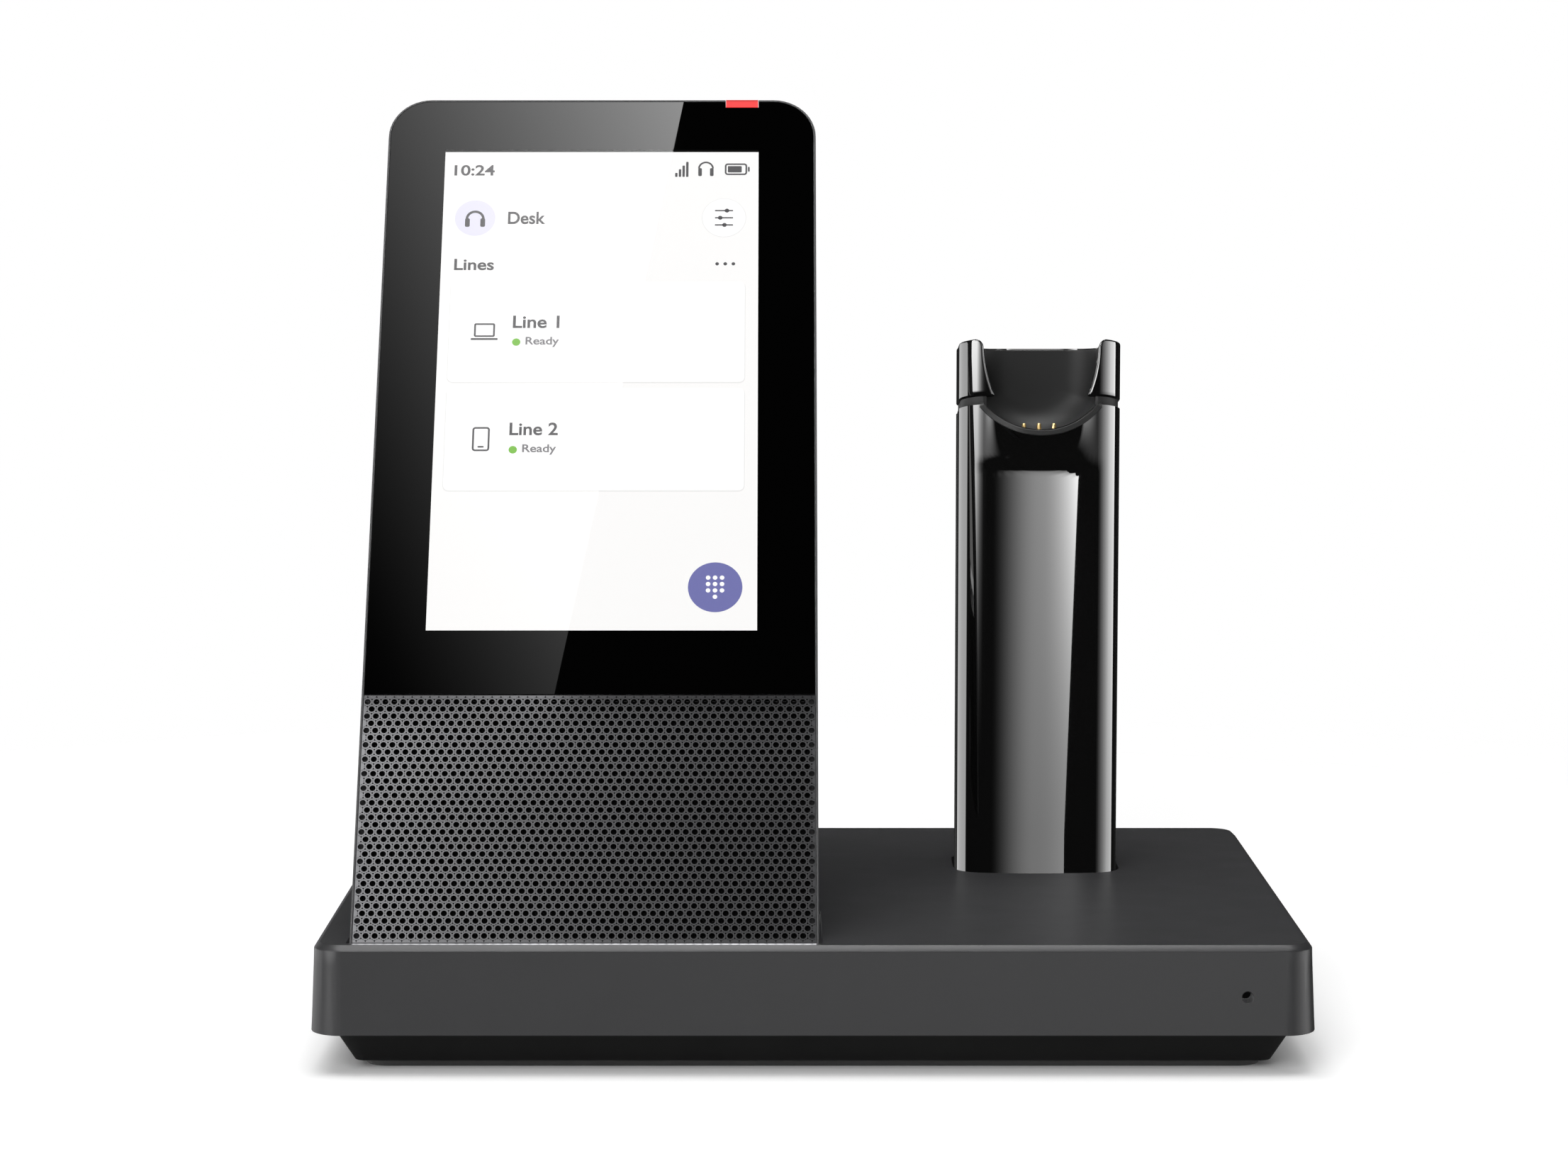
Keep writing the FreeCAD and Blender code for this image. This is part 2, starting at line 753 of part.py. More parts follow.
def make_usb_c_socket():
    socket = Piece("usb_c_socket")
    low, high = board_top, board_top + d.usb_c_height
    left, right = d.usb_c_centre - d.usb_c_width / 2, d.usb_c_centre + d.usb_c_width / 2
    block = rectangle(socket.sketch("XZ", socket_mouth), left, right, low, high)
    socket.pad(block, d.usb_c_length, way=BACKWARD)
    wall = d.socket_wall
    socket.fillet(d.usb_c_height / 2 - wall, lambda edge: edge.BoundBox.YLength > d.usb_c_height.number)
    well = rectangle(socket.sketch("XZ", socket_mouth), left + 2 * wall, right - 2 * wall,
                     low + wall, high - wall)
    socket.pocket(well, d.usb_c_well, way=BACKWARD)
    middle = (low + high) / 2
    inset = 2 * wall + d.tongue_gap
    tongue = rectangle(socket.sketch("XZ", socket_mouth - d.usb_c_well), left + inset, right - inset,
                       middle - wall, middle + wall)
    socket.pad(tongue, d.usb_c_well - wall, way=FORWARD)


def make_power_jack():
    jack = Piece("power_jack")
    low, high = board_top, board_top + d.jack_height
    left, right = d.jack_centre - d.jack_width / 2, d.jack_centre + d.jack_width / 2
    jack.pad(rectangle(jack.sketch("XZ", socket_mouth), left, right, low, high), d.jack_length, way=BACKWARD)
    middle = (low + high) / 2
    bore = ring(jack.sketch("XZ", socket_mouth), d.jack_centre, middle, d.jack_bore)
    jack.pocket(bore, d.jack_well, way=BACKWARD)
    pin = ring(jack.sketch("XZ", socket_mouth - d.jack_well), d.jack_centre, middle, d.jack_pin)
    jack.pad(pin, d.jack_well - d.socket_wall, way=FORWARD)


def make_microphone():
    wall = cavity_inset - rear_wall
    boot = Piece("microphone_boot")
    boot.pad(ring(boot.sketch("XZ", wall), mic_x, d.mic_height, d.mic_boot_diameter),
             d.mic_boot_lip + d.mic_length, way=FORWARD)
    seat = ring(boot.sketch("XZ", wall + d.mic_boot_lip), mic_x, d.mic_height, d.mic_diameter)
    boot.pocket(seat, d.mic_length, way=FORWARD)
    boot.pocket(ring(boot.sketch("XZ", wall), mic_x, d.mic_height, d.mic_hole), d.mic_boot_lip, way=FORWARD)
    capsule = keep(doc.addObject("Part::Cylinder", "microphone"), "microphone")
    bind(capsule, Radius=d.mic_diameter / 2, Height=d.mic_length)
    place(capsule, mic_x, wall + d.mic_boot_lip, d.mic_height, -90)


def make_antennas():
    """Thin aerial strips on the inner side walls."""
    for label, side in (("antenna_left", -1), ("antenna_right", 1)):
        strip = keep(doc.addObject("Part::Box", label), label)
        bind(strip, Length=d.ribbon_sheet, Width=cavity_depth / 3, Height=d.cover_height / 2)
        inner = cavity_width / 2 if side > 0 else d.ribbon_sheet - cavity_width / 2
        place(strip, inner - d.ribbon_sheet, 0, ceiling - d.cover_height / 2 - d.fit_gap)


def make_base_screws():
    under_head = d.pad_height + d.screw_head_height
    length = shell_floor_top - under_head + d.screw_depth
    group("base_screws", [screw(f"base_screw_{i}", x, y, under_head, length)
                          for i, (x, y) in enumerate(boss_spots)])
    length = d.board_thickness + d.board_lift - d.fit_gap
    group("board_screws", [screw(f"board_screw_{i}", x, y, board_top, length, HALF_TURN)
                           for i, (x, y) in enumerate(board_spots())])


# Screen unit


def unit_floor(along_shift, behind):
    """How far up the face the seat's floor lies, moved along the face by a shift."""
    return along_at(top_level - d.seat_depth, behind) + along_shift


def cut_to_seat(piece, depth):
    """Cuts a leaning piece level where it stands on the base."""
    front, back = -d.bezel_depth, depth + d.bezel_depth
    far = unit_floor(-depth, front)
    piece.pocket(outline(piece.sketch("YZ"), [(far, -back), (unit_floor(0, back), -back),
                                              (unit_floor(0, front), -front), (far, -front)]),
                 d.screen_width * 2, both=True)


def make_screen_bezel():
    bezel = Piece("screen_bezel")
    face = arched(bezel.sketch("XY"), half_screen, -d.bezel_depth, d.screen_height, d.screen_corner)
    bezel.pad(face, d.bezel_depth, way=BACKWARD)
    seat = arched(bezel.sketch("XY"), half_screen - d.bezel_rim, -2 * d.bezel_depth,
                  d.screen_height - d.bezel_rim, d.screen_corner - d.bezel_rim)
    bezel.pocket(seat, d.glass_thickness + d.glue_line)
    window = rectangle(bezel.sketch("XY"), -display_width / 2, display_width / 2, d.display_bottom,
                       d.display_bottom + display_height)
    bezel.pocket(window, d.bezel_depth)
    bezel.pocket(ring(bezel.sketch("XY"), 0, d.speaker_level, d.speaker_bore), d.bezel_depth)
    chamber_side = half_screen - d.housing_wall * 2
    chamber_low = unit_floor(d.housing_wall, d.bezel_depth)
    chamber = rectangle(bezel.sketch("XY", -d.bezel_depth), -chamber_side, chamber_side, chamber_low,
                        d.display_bottom - d.housing_wall * 2)
    bezel.pocket(chamber, d.bezel_depth - d.glass_thickness - d.glue_line - d.baffle_thickness, way=FORWARD)
    notch = rectangle(bezel.sketch("XY"), light_x - d.light_width / 2, light_x + d.light_width / 2,
                      d.screen_height - d.light_height, d.screen_height + d.light_height)
    bezel.pocket(notch, d.light_depth)
    holes = bezel.sketch("XY")
    for x, y in bezel_screw_spots():
        ring(holes, x, y, d.screw_diameter)
    bezel.pocket(holes, d.bezel_depth)
    heads = bezel.sketch("XY")
    for x, y in bezel_screw_spots():
        ring(heads, x, y, d.screw_head_diameter + 2 * d.fit_gap)
    bezel.pocket(heads, d.glass_thickness + d.glue_line + d.screw_head_height)
    cut_to_seat(bezel, d.bezel_depth)
    in_face(bezel.body)


def bezel_screw_spots():
    """The places of the screws that hold the bezel to the rear housing, under the glass."""
    reach = (half_screen + display_width / 2) / 2
    low = d.display_bottom
    high = d.display_bottom + display_height - d.screen_corner
    return [(sx * reach, y) for sx in (-1, 1) for y in (low, high)]


def housing_depth(along):
    """Thickness of the screen unit at a height along its face."""
    foot = unit_floor(0, d.housing_foot)
    share = (d.screen_height - along) / (d.screen_height - foot)
    return d.housing_top + (d.housing_foot - d.housing_top) * share


def make_screen_rear_housing():
    housing = Piece("screen_rear_housing")
    wedge = outline(housing.sketch("YZ"), [(unit_floor(0, d.housing_foot), -d.housing_foot),
                                           (d.screen_height, -d.housing_top),
                                           (d.screen_height, -d.bezel_depth),
                                           (unit_floor(0, d.bezel_depth), -d.bezel_depth)])
    housing.pad(wedge, d.screen_width, both=True)
    top = d.screen_height.number
    housing.fillet(d.screen_corner, lambda edge: rises(edge) and edge.CenterOfMass.y > top - 1)
    back = -d.housing_top.number + 1e-4
    housing.fillet(d.housing_edge, lambda edge: max(v.Z for v in edge.Vertexes) < back
                   and edge.BoundBox.YMax - edge.BoundBox.YMin > 1e-3
                   or edge.BoundBox.ZMax < back and edge.CenterOfMass.y > top - 1)
    wall = d.housing_wall
    seam = -d.bezel_depth.number
    housing.hollow(wall, lambda face: face.BoundBox.ZMin > seam - 1e-4)

    # Bosses for the bezel's screws and for the brackets, each ending in the back wall
    for spots, front in ((bezel_screw_spots(), d.bezel_depth),
                         (bracket_boss_spots(), d.bracket_depth + d.bracket_sheet)):
        for x, y in spots:
            length = housing_depth(y) - wall / 2 - front
            housing.pad(ring(housing.sketch("XY", -front), x, y, d.boss_diameter), length, way=BACKWARD)
            depth = length - wall
            housing.pocket(ring(housing.sketch("XY", -front), x, y, d.screw_diameter), depth)

    # Way through the floor for the brackets and the ribbon
    slot_side = (d.bracket_spread + d.bracket_width) / 2 + d.seat_gap
    slot_front = d.bracket_depth - d.seat_gap
    slot_back = d.ribbon_depth + d.ribbon_sheet + d.seat_gap
    slot_top = 2 * wall / lean_cosine
    floor_slot = outline(housing.sketch("YZ"), [
        (unit_floor(-wall, slot_back), -slot_back), (unit_floor(slot_top, slot_back), -slot_back),
        (unit_floor(slot_top, slot_front), -slot_front), (unit_floor(-wall, slot_front), -slot_front)])
    housing.pocket(floor_slot, 2 * slot_side, both=True)
    in_face(housing.body)


def bracket_boss_spots():
    """The places where the brackets are screwed to the rear housing."""
    return [(x, bracket_top_hole) for x in bracket_spots]


def make_cover_glass():
    glass = Piece("cover_glass")
    inset = d.bezel_rim + d.face_gap
    face = arched(glass.sketch("XY"), half_screen - inset, d.glass_bottom, d.screen_height - inset,
                  d.screen_corner - inset)
    glass.pad(face, d.glass_thickness, way=BACKWARD)
    reach = d.light_width / 2 + d.face_gap
    notch = rectangle(glass.sketch("XY"), light_x - reach, light_x + reach,
                      d.screen_height - d.light_height - d.face_gap, d.screen_height)
    glass.pocket(notch, d.glass_thickness)
    in_face(glass.body)


def make_display():
    front = d.glass_thickness + d.display_gap
    left = -display_width / 2
    face_box("display_panel", left, display_width, d.display_bottom, display_height, front,
             d.display_thickness)
    tray = Piece("display_tray")
    behind = front + d.display_thickness
    sheet = rectangle(tray.sketch("XY", -behind), left, -left, d.display_bottom,
                      d.display_bottom + display_height)
    tray.pad(sheet, d.bezel_depth - behind, way=BACKWARD)
    wall = d.tray_thickness
    inside = rectangle(tray.sketch("XY", -d.bezel_depth), left + wall, -left - wall, d.display_bottom + wall,
                       d.display_bottom + display_height - wall)
    tray.pocket(inside, d.bezel_depth - behind - wall, way=FORWARD)
    stands = tray.sketch("XY", -behind - wall)
    reach = screen_board_width / 2 - d.stand_diameter
    for x in (-reach, reach):
        for y in (screen_board_bottom + d.stand_diameter, screen_board_top - d.stand_diameter):
            ring(stands, x, y, d.stand_diameter)
    tray.pad(stands, d.screen_board_depth - behind - wall, way=BACKWARD)
    in_face(tray.body)


def make_screen_board():
    board = Piece("screen_board")
    side = screen_board_width / 2
    front = -d.screen_board_depth
    face = rectangle(board.sketch("XY", front), -side, side, screen_board_bottom, screen_board_top)
    board.pad(face, d.screen_board_thickness, way=BACKWARD)
    back = front - d.screen_board_thickness
    socket = rectangle(board.sketch("XY", back), d.ribbon_offset - d.ribbon_width,
                       d.ribbon_offset + d.ribbon_width, screen_board_bottom,
                       screen_board_bottom + d.ribbon_width / 2)
    board.pad(socket, d.ribbon_depth - d.screen_board_depth - d.screen_board_thickness, way=BACKWARD)
    in_face(board.body)
    face_box("shield_can", -d.shield_side / 2, d.shield_side, screen_board_bottom + d.shield_side,
             d.shield_side, d.screen_board_depth + d.screen_board_thickness, d.shield_height)


def leaning_strip(label, centre, width, sheet, depth, reach, foot, tail):
    """A sheet strip that leans with the face and turns level, at a foot level, towards the back."""
    strip = Piece(label)
    front_y, _ = face_point(along_at(foot, depth), depth)
    bend_y, _ = face_point(along_at(foot + sheet, depth + sheet), depth + sheet)
    end_y = front_y + tail
    strip.pad(outline(strip.sketch("YZ", centre - width / 2), [
        (front_y, foot), (end_y, foot), (end_y, foot + sheet), (bend_y, foot + sheet),
        face_point(reach, depth + sheet), face_point(reach, depth)]), width)
    return strip


def make_screen_brackets():
    for label, x in zip(("screen_bracket_left", "screen_bracket_right"), bracket_spots):
        centre = screen_x + x
        strip = leaning_strip(label, centre, d.bracket_width, d.bracket_sheet, d.bracket_depth,
                              d.bracket_reach, bracket_foot, d.bracket_flange)
        strip.pocket(ring(strip.sketch("XY", bracket_level), centre, bracket_hole_y, d.screw_diameter),
                     d.bracket_sheet)
        strip.pocket(ring(strip.lean_sketch(d.bracket_depth), centre, bracket_top_hole, d.screw_diameter),
                     d.bracket_sheet, way=FORWARD)


def face_screw(name, x, along, behind, length):
    """A screw driven into the screen unit from its front, given by the depth that its head sits at."""
    y, z = face_point(along, behind)
    return screw(name, screen_x + x, y, z, length, lean_turn + HALF_TURN)


def make_screen_screws():
    """Screws at both ends of the brackets, and those that hold the bezel to the rear housing."""
    foot_length = d.bracket_sheet + d.bracket_drop - d.fit_gap
    feet = [screw(f"bracket_foot_screw_{i}", screen_x + x, bracket_hole_y, bracket_foot, foot_length)
            for i, x in enumerate(bracket_spots)]
    heads = [face_screw(f"bracket_head_screw_{i}", x, y, d.bracket_depth, d.bracket_sheet + d.housing_wall)
             for i, (x, y) in enumerate(bracket_boss_spots())]
    group("bracket_screws", feet + heads)
    front = d.glass_thickness + d.glue_line + d.screw_head_height
    length = d.bezel_depth - front + d.housing_wall / 2
    group("bezel_screws", [face_screw(f"bezel_screw_{i}", x, y, front, length)
                           for i, (x, y) in enumerate(bezel_screw_spots())])


def make_screen_ribbon():
    leaning_strip("screen_ribbon", screen_x + d.ribbon_offset, d.ribbon_width, d.ribbon_sheet, d.ribbon_depth,
                  screen_board_bottom + d.ribbon_width / 2, board_top, d.ribbon_tail)


def make_speaker_grille():
    """A perforated sheet and the cloth behind it. hole_step 1 gives every hole; a larger step gives
    fewer and larger holes of the same open share."""
    side = (half_screen - d.bezel_rim - d.face_gap).number
    low = unit_floor(d.grille_gap, d.grille_thickness).number
    high = (d.glass_bottom - d.grille_gap).number
    pitch = (d.hole_pitch * d.hole_step).number
    radius = (d.hole_diameter * d.hole_step / 2).number
    margin = d.hole_margin.number + radius
    row_rise = pitch * math.sin(math.radians(60))
    rows = int((high - low - 2 * margin) / row_rise)
    columns = int((2 * side - 2 * margin) / pitch)
    first_row = (high + low - rows * row_rise) / 2
    sheet_corners = [V(-side, low, 0), V(side, low, 0), V(side, high, 0), V(-side, high, 0)]
    wires = [Part.makePolygon(sheet_corners + sheet_corners[:1])]
    for row in range(rows + 1):
        count = columns - row % 2
        for column in range(count + 1):
            centre = V((column - count / 2) * pitch, first_row + row * row_rise, 0)
            corners = [centre + V(math.sin(a), math.cos(a), 0) * radius
                       for a in (math.radians(60 * k) for k in range(7))]
            wires.append(Part.makePolygon(corners))
    grille = keep(doc.addObject("Part::Feature", "speaker_grille"), "speaker_grille")
    grille.Shape = Part.Face(wires, "Part::FaceMakerBullseye").extrude(V(0, 0, -d.grille_thickness.number))
    in_face(grille)
    cloth_thickness = d.glass_thickness + d.glue_line - d.grille_thickness
    cloth_low = unit_floor(d.cloth_margin, d.grille_thickness + cloth_thickness)
    cloth_side = half_screen - d.bezel_rim - d.cloth_margin
    face_box("speaker_cloth", -cloth_side, 2 * cloth_side, cloth_low,
             d.glass_bottom - d.cloth_margin - cloth_low, d.grille_thickness, cloth_thickness)


def make_speaker():
    """Basket, cone and magnet, each turned about the loudspeaker's own axis."""
    front = d.glass_thickness + d.glue_line + d.baffle_thickness
    rim = d.speaker_diameter / 2
    bore = d.speaker_bore / 2
    throat = d.magnet_diameter / 2
    sheet = d.speaker_sheet

    basket = Piece("speaker_basket")
    flange_back = d.speaker_flange
    basket.spin(outline(basket.sketch("XZ"), [
        (throat - 2 * sheet, -d.speaker_depth), (throat, -d.speaker_depth), (bore, -flange_back - sheet),
        (bore, -flange_back), (rim, -flange_back), (rim, 0), (bore - sheet, 0), (bore - sheet, -flange_back),
        (throat - sheet, sheet - d.speaker_depth), (throat - 2 * sheet, sheet - d.speaker_depth)]))

    cone = Piece("speaker_cone")
    dome = d.cone_dome / 2
    thin = d.cone_thickness
    deep = d.speaker_depth / 2
    edge = bore - sheet
    cone.spin(outline(cone.sketch("XZ"), [
        (0, thin - deep), (dome, -deep), (edge - 2 * sheet, -thin), (edge, -thin), (edge, 0),
        (edge - 2 * sheet, 0), (dome, thin - deep), (0, 2 * thin - deep)]))

    magnet = Piece("speaker_magnet")
    disc = ring(magnet.sketch("XY", -d.speaker_depth), 0, 0, d.magnet_diameter)
    magnet.pad(disc, d.magnet_height, way=BACKWARD)
    magnet.chamfer(d.speaker_sheet, level_at(-d.speaker_depth - d.magnet_height))

    y, z = face_point(d.speaker_level, front)
    for part in (basket, cone, magnet):
        place(part.body, screen_x, y, z, lean_turn)


def make_busy_light():
    lens = Piece("busy_light_lens")
    reach = d.light_width / 2 - d.face_gap
    face = rectangle(lens.sketch("XY"), light_x - reach, light_x + reach,
                     d.screen_height - d.light_height + d.face_gap, d.screen_height)
    lens.pad(face, d.light_depth, way=BACKWARD)
    half = d.led_width / 2 + d.face_gap
    low = d.screen_height - (d.light_height + d.led_height) / 2 - d.face_gap
    nook = rectangle(lens.sketch("XY", -d.light_depth), light_x - half, light_x + half, low,
                     low + d.led_height + 2 * d.face_gap)
    lens.pocket(nook, d.led_depth + d.face_gap, way=FORWARD)
    in_face(lens.body)
    face_box("busy_light_led", light_x - d.led_width / 2, d.led_width, low + d.face_gap, d.led_height,
             d.light_depth - d.led_depth, d.led_depth)


# Charging post


def post_outline(drawing, inset):
    """The post's section, drawn in by an inset, with its crowned front."""
    side = d.post_width / 2 - inset
    shoulder = post_shoulder(inset)
    return outline(drawing, [(post_x - side, shoulder), (post_x + side, shoulder),
                             (post_x + side, post_back - inset), (post_x - side, post_back - inset)],
                   {0: d.post_crown})


def post_shoulder(inset):
    """Where the sides of the post's section meet its crowned front."""
    half = d.post_width / 2
    return post_front + inset + half * half / (2 * d.post_crown)


def half_outline(drawing, inset, front):
    """The front or the rear half of the post's section."""
    side = d.post_width / 2 - inset
    if not front:
        return rectangle(drawing, post_x - side, post_x + side, post_split, post_back - inset)
    shoulder = post_shoulder(inset)
    return outline(drawing, [(post_x - side, shoulder), (post_x + side, shoulder),
                             (post_x + side, post_split), (post_x - side, post_split)],
                   {0: d.post_crown})


def slope_off(piece, level, lift):
    """Cuts away what lies past a plane that falls towards the back, as the head's seams do.
    The level is the plane's height at the post's front, and lift reaches up or down from it."""
    near, far = post_front - d.post_depth, post_back + d.post_depth
    near_level = top_level + level + d.post_depth * head_tangent
    far_level = top_level + level - 2 * d.post_depth * head_tangent
    cut = outline(piece.sketch("YZ", post_x), [(near, near_level), (far, far_level),
                                                 (far, far_level + lift), (near, near_level + lift)])
    piece.pocket(cut, 2 * d.post_width, both=True)


def cup_section(drawing, widen, lower, top):
    """The cup's cross section, a round floor between upright walls, made wider and deeper by two amounts."""
    half = d.cup_width / 2 + widen
    sag = d.cup_sag + lower
    shoulder = top_level + d.cup_floor + d.cup_sag
    return outline(drawing, [(post_x - half, shoulder), (post_x + half, shoulder),
                             (post_x + half, top), (post_x - half, top)],
                   {0: (half * half + sag * sag) / (2 * sag)})


def make_post_shells():
    head_top = top_level + d.groove_level + d.yoke_height
    for label, front in (("post_front_shell", True), ("post_rear_shell", False)):
        shell = Piece(label)
        shell.pad(half_outline(shell.sketch("XY", post_bottom), 0, front), head_top - post_bottom)
        seam = post_split.number
        shell.fillet(d.post_corner, lambda edge: rises(edge) and abs(edge.CenterOfMass.y - seam) > 1)
        if front:
            # The chin sweeps out of the front wall in a hollow curve to the lip of the cup
            reach = d.lip_reach - d.lip_proud
            shell.loft(*[cup_section(shell.sketch("XZ", post_front - share * abs(share) * reach),
                                     d.lip_side + d.chin_edge + (1 - share) * d.chin_widen,
                                     rim_drop + d.chin_edge + (1 - share) * d.chin_height, head_top)
                         for share in CHIN_STEPS])
        inside = half_outline(shell.sketch("XY", post_bottom), d.post_wall, front)
        shell.pocket(inside, head_top - post_bottom, way=FORWARD)
        if front:
            slot = cup_section(shell.sketch("XZ", post_split), d.lip_side + d.fit_gap, rim_drop + d.fit_gap,
                               head_top)
            shell.pocket(slot, d.post_depth + d.lip_reach, way=BACKWARD)
        slope_off(shell, d.groove_level, 4 * d.yoke_height)


def make_cradle_cup():
    cup = Piece("cradle_cup")
    inset = d.post_wall
    plug = top_level + d.cup_plug
    head_top = top_level + d.groove_level + d.yoke_height
    cup.pad(post_outline(cup.sketch("XY", plug), inset), head_top - plug)
    cup.fillet(d.post_corner - inset, rises)

    # The trough opens to the front over a raised rim, whose lip reaches out of the post
    lip_top = top_level + d.cup_floor + d.cup_sag + d.lip_wall
    lip = cup_section(cup.sketch("XZ", post_front - d.lip_reach), d.lip_side, rim_drop, lip_top)
    cup.pad(lip, d.lip_reach + inset + d.lip_wall + post_shoulder(0) - post_front, way=FORWARD)
    clear = head_top + d.yoke_height
    rim = post_front - d.lip_reach + d.lip_rim
    cup.pocket(cup_section(cup.sketch("XZ", rim), 0, 0, clear), post_front + d.cup_depth - rim, way=FORWARD)
    mouth = cup_section(cup.sketch("XZ", post_front - d.lip_reach), 0, -d.lip_rise, clear)
    cup.pocket(mouth, 2 * d.lip_rim, way=FORWARD)
    back = (post_front + d.cup_depth).number
    cup.fillet(d.cup_blend, lambda edge: min(v.Y for v in edge.Vertexes) > back - 1e-4
               and max(v.Y for v in edge.Vertexes) < back + 1e-4
               and edge.CenterOfMass.z < head_top.number - 1e-3)
    slope_off(cup, d.groove_level + d.groove_height, 4 * d.yoke_height)

    # Room for the contact block and its board under the floor, and the three holes that the pins rise through
    low_y = contact_y - d.block_depth / 2 - d.fit_gap
    half = d.contact_board_width / 2 + d.fit_gap
    room = rectangle(cup.sketch("XY", plug), post_x - half, post_x + half, low_y,
                     low_y + d.contact_board_depth + 2 * d.fit_gap)
    cup.pocket(room, block_top - plug, way=FORWARD)
    holes = cup.sketch("XY", block_top)
    for x in contact_spots:
        ring(holes, x, contact_y, d.pin_diameter + 2 * d.pin_clearance)
    cup.pocket(holes, d.cup_skin + d.cup_sag, way=FORWARD)


def make_cradle_yoke():
    yoke = Piece("cradle_yoke")
    seat = d.groove_level + d.groove_height
    low = top_level + seat - 2 * d.post_depth * head_tangent
    high = top_level + seat + d.yoke_height + d.post_depth * head_tangent
    yoke.pad(post_outline(yoke.sketch("XY", low), 0), high - low)
    yoke.fillet(d.post_corner, rises)
    slope_off(yoke, seat, -4 * d.yoke_height)
    slope_off(yoke, seat + d.yoke_height, 4 * d.yoke_height)
    tip, brim = top_level + seat, top_level + seat + d.yoke_height
    front, slope = post_front.number, head_tangent.number
    yoke.fillet(d.yoke_edge, lambda edge: all(abs(v.Z - brim.number + (v.Y - front) * slope) < 1e-3
                                              for v in edge.Vertexes))

    # The well continues the cup, and the mouth between the ears narrows in a curve towards their tips
    half = d.cup_width / 2
    well = rectangle(yoke.sketch("XY", high), post_x - half, post_x + half, post_front + d.mouth_depth,
                     post_front + d.cup_depth)
    yoke.pocket(well, high - low)
    back = (post_front + d.cup_depth).number
    yoke.fillet(d.cup_blend, lambda edge: rises(edge) and abs(edge.CenterOfMass.y - back) < 1e-3)
    mouth = outline(yoke.sketch("XZ", post_front - d.lip_reach), [
        (post_x - d.mouth_bottom / 2, low), (post_x + d.mouth_bottom / 2, low),
        (post_x + d.mouth_bottom / 2, tip), (post_x + d.mouth_top / 2, brim),
        (post_x + d.mouth_top / 2, high), (post_x - d.mouth_top / 2, high),
        (post_x - d.mouth_top / 2, brim), (post_x - d.mouth_bottom / 2, tip)],
        {2: d.mouth_curve, 6: d.mouth_curve})
    yoke.pocket(mouth, d.lip_reach + d.mouth_depth + d.fit_gap, way=FORWARD)


def make_contacts():
    """Three sprung pins in one block, each resting under the cup's floor."""
    tip = top_level + d.cup_floor + d.pin_rise
    collar_top = block_top - d.pin_clearance
    collar_bottom = collar_top - d.collar_height
    spring_bottom = collar_bottom - d.spring_length
    block = Piece("contact_block")
    body = rectangle(block.sketch("XY", block_top), post_x - d.block_width / 2, post_x + d.block_width / 2,
                     contact_y - d.block_depth / 2, contact_y + d.block_depth / 2)
    block.pad(body, block_top - spring_bottom + d.block_floor, way=BACKWARD)
    bores = block.sketch("XY", block_top)
    for x in contact_spots:
        ring(bores, x, contact_y, d.collar_diameter + 2 * d.pin_clearance)
    block.pocket(bores, block_top - spring_bottom)

    for side, x in zip(("left", "centre", "right"), contact_spots):
        pin = Piece(f"contact_pin_{side}")
        pin.pad(ring(pin.sketch("XY", collar_bottom), x, contact_y, d.collar_diameter), d.collar_height)
        pin.pad(ring(pin.sketch("XY", collar_top), x, contact_y, d.pin_diameter), tip - collar_top)
        pin.fillet(d.pin_diameter / 3, level_at(tip))
        spring = Piece(f"contact_spring_{side}")
        coil = spring.sketch("XY", spring_bottom)
        ring(coil, x, contact_y, d.collar_diameter)
        ring(coil, x, contact_y, d.collar_diameter - 2 * d.spring_sheet)
        spring.pad(coil, d.spring_length)

    board = keep(doc.addObject("Part::Box", "contact_board"), "contact_board")
    board_level = spring_bottom - d.block_floor - d.contact_board_thickness
    bind(board, Length=d.contact_board_width, Width=d.contact_board_depth, Height=d.contact_board_thickness)
    place(board, post_x - d.contact_board_width / 2, contact_y - d.block_depth / 2, board_level)

    ribbon = keep(doc.addObject("Part::Box", "charge_ribbon"), "charge_ribbon")
    bind(ribbon, Length=d.ribbon_width, Width=d.ribbon_sheet, Height=board_level - board_top)
    place(ribbon, post_x - d.ribbon_width / 2, contact_y, board_top)


def make_post_foot_plate():
    plate = Piece("post_foot_plate")
    half = d.foot_width / 2
    face = rectangle(plate.sketch("XY", post_bottom), post_x - half, post_x + half,
                     post_split - d.foot_depth / 2, post_split + d.foot_depth / 2)
    plate.pad(face, d.foot_thickness, way=BACKWARD)
    way = rectangle(plate.sketch("XY", post_bottom), post_x - d.ribbon_width, post_x + d.ribbon_width,
                    contact_y - d.ribbon_width / 2, contact_y + d.ribbon_width / 2)
    plate.pocket(way, d.foot_thickness)
    holes = plate.sketch("XY", post_bottom)
    for x in foot_boss_spots:
        ring(holes, x, post_split, d.screw_diameter)
    plate.pocket(holes, d.foot_thickness)
    low = post_bottom - d.foot_thickness
    length = d.foot_thickness + d.post_drop - d.fit_gap
    group("post_screws", [screw(f"post_screw_{i}", x, post_split, low, length)
                          for i, x in enumerate(foot_boss_spots)])


def write_parts():
    """Checks every object of the document and writes one file for each sub-part."""
    doc.recompute()
    for thing in doc.Objects:
        if "Invalid" in thing.State or "Error" in thing.State:
            raise RuntimeError(f"{thing.Label} failed: {thing.State}")
    for piece in pieces:
        if piece.Shape.isNull() or not piece.Shape.isValid():
            raise RuntimeError(f"{piece.Label} has no valid shape")
    os.makedirs("parts", exist_ok=True)
    for piece in pieces:
        piece.Shape.exportStep(f"parts/{piece.Label}.step")


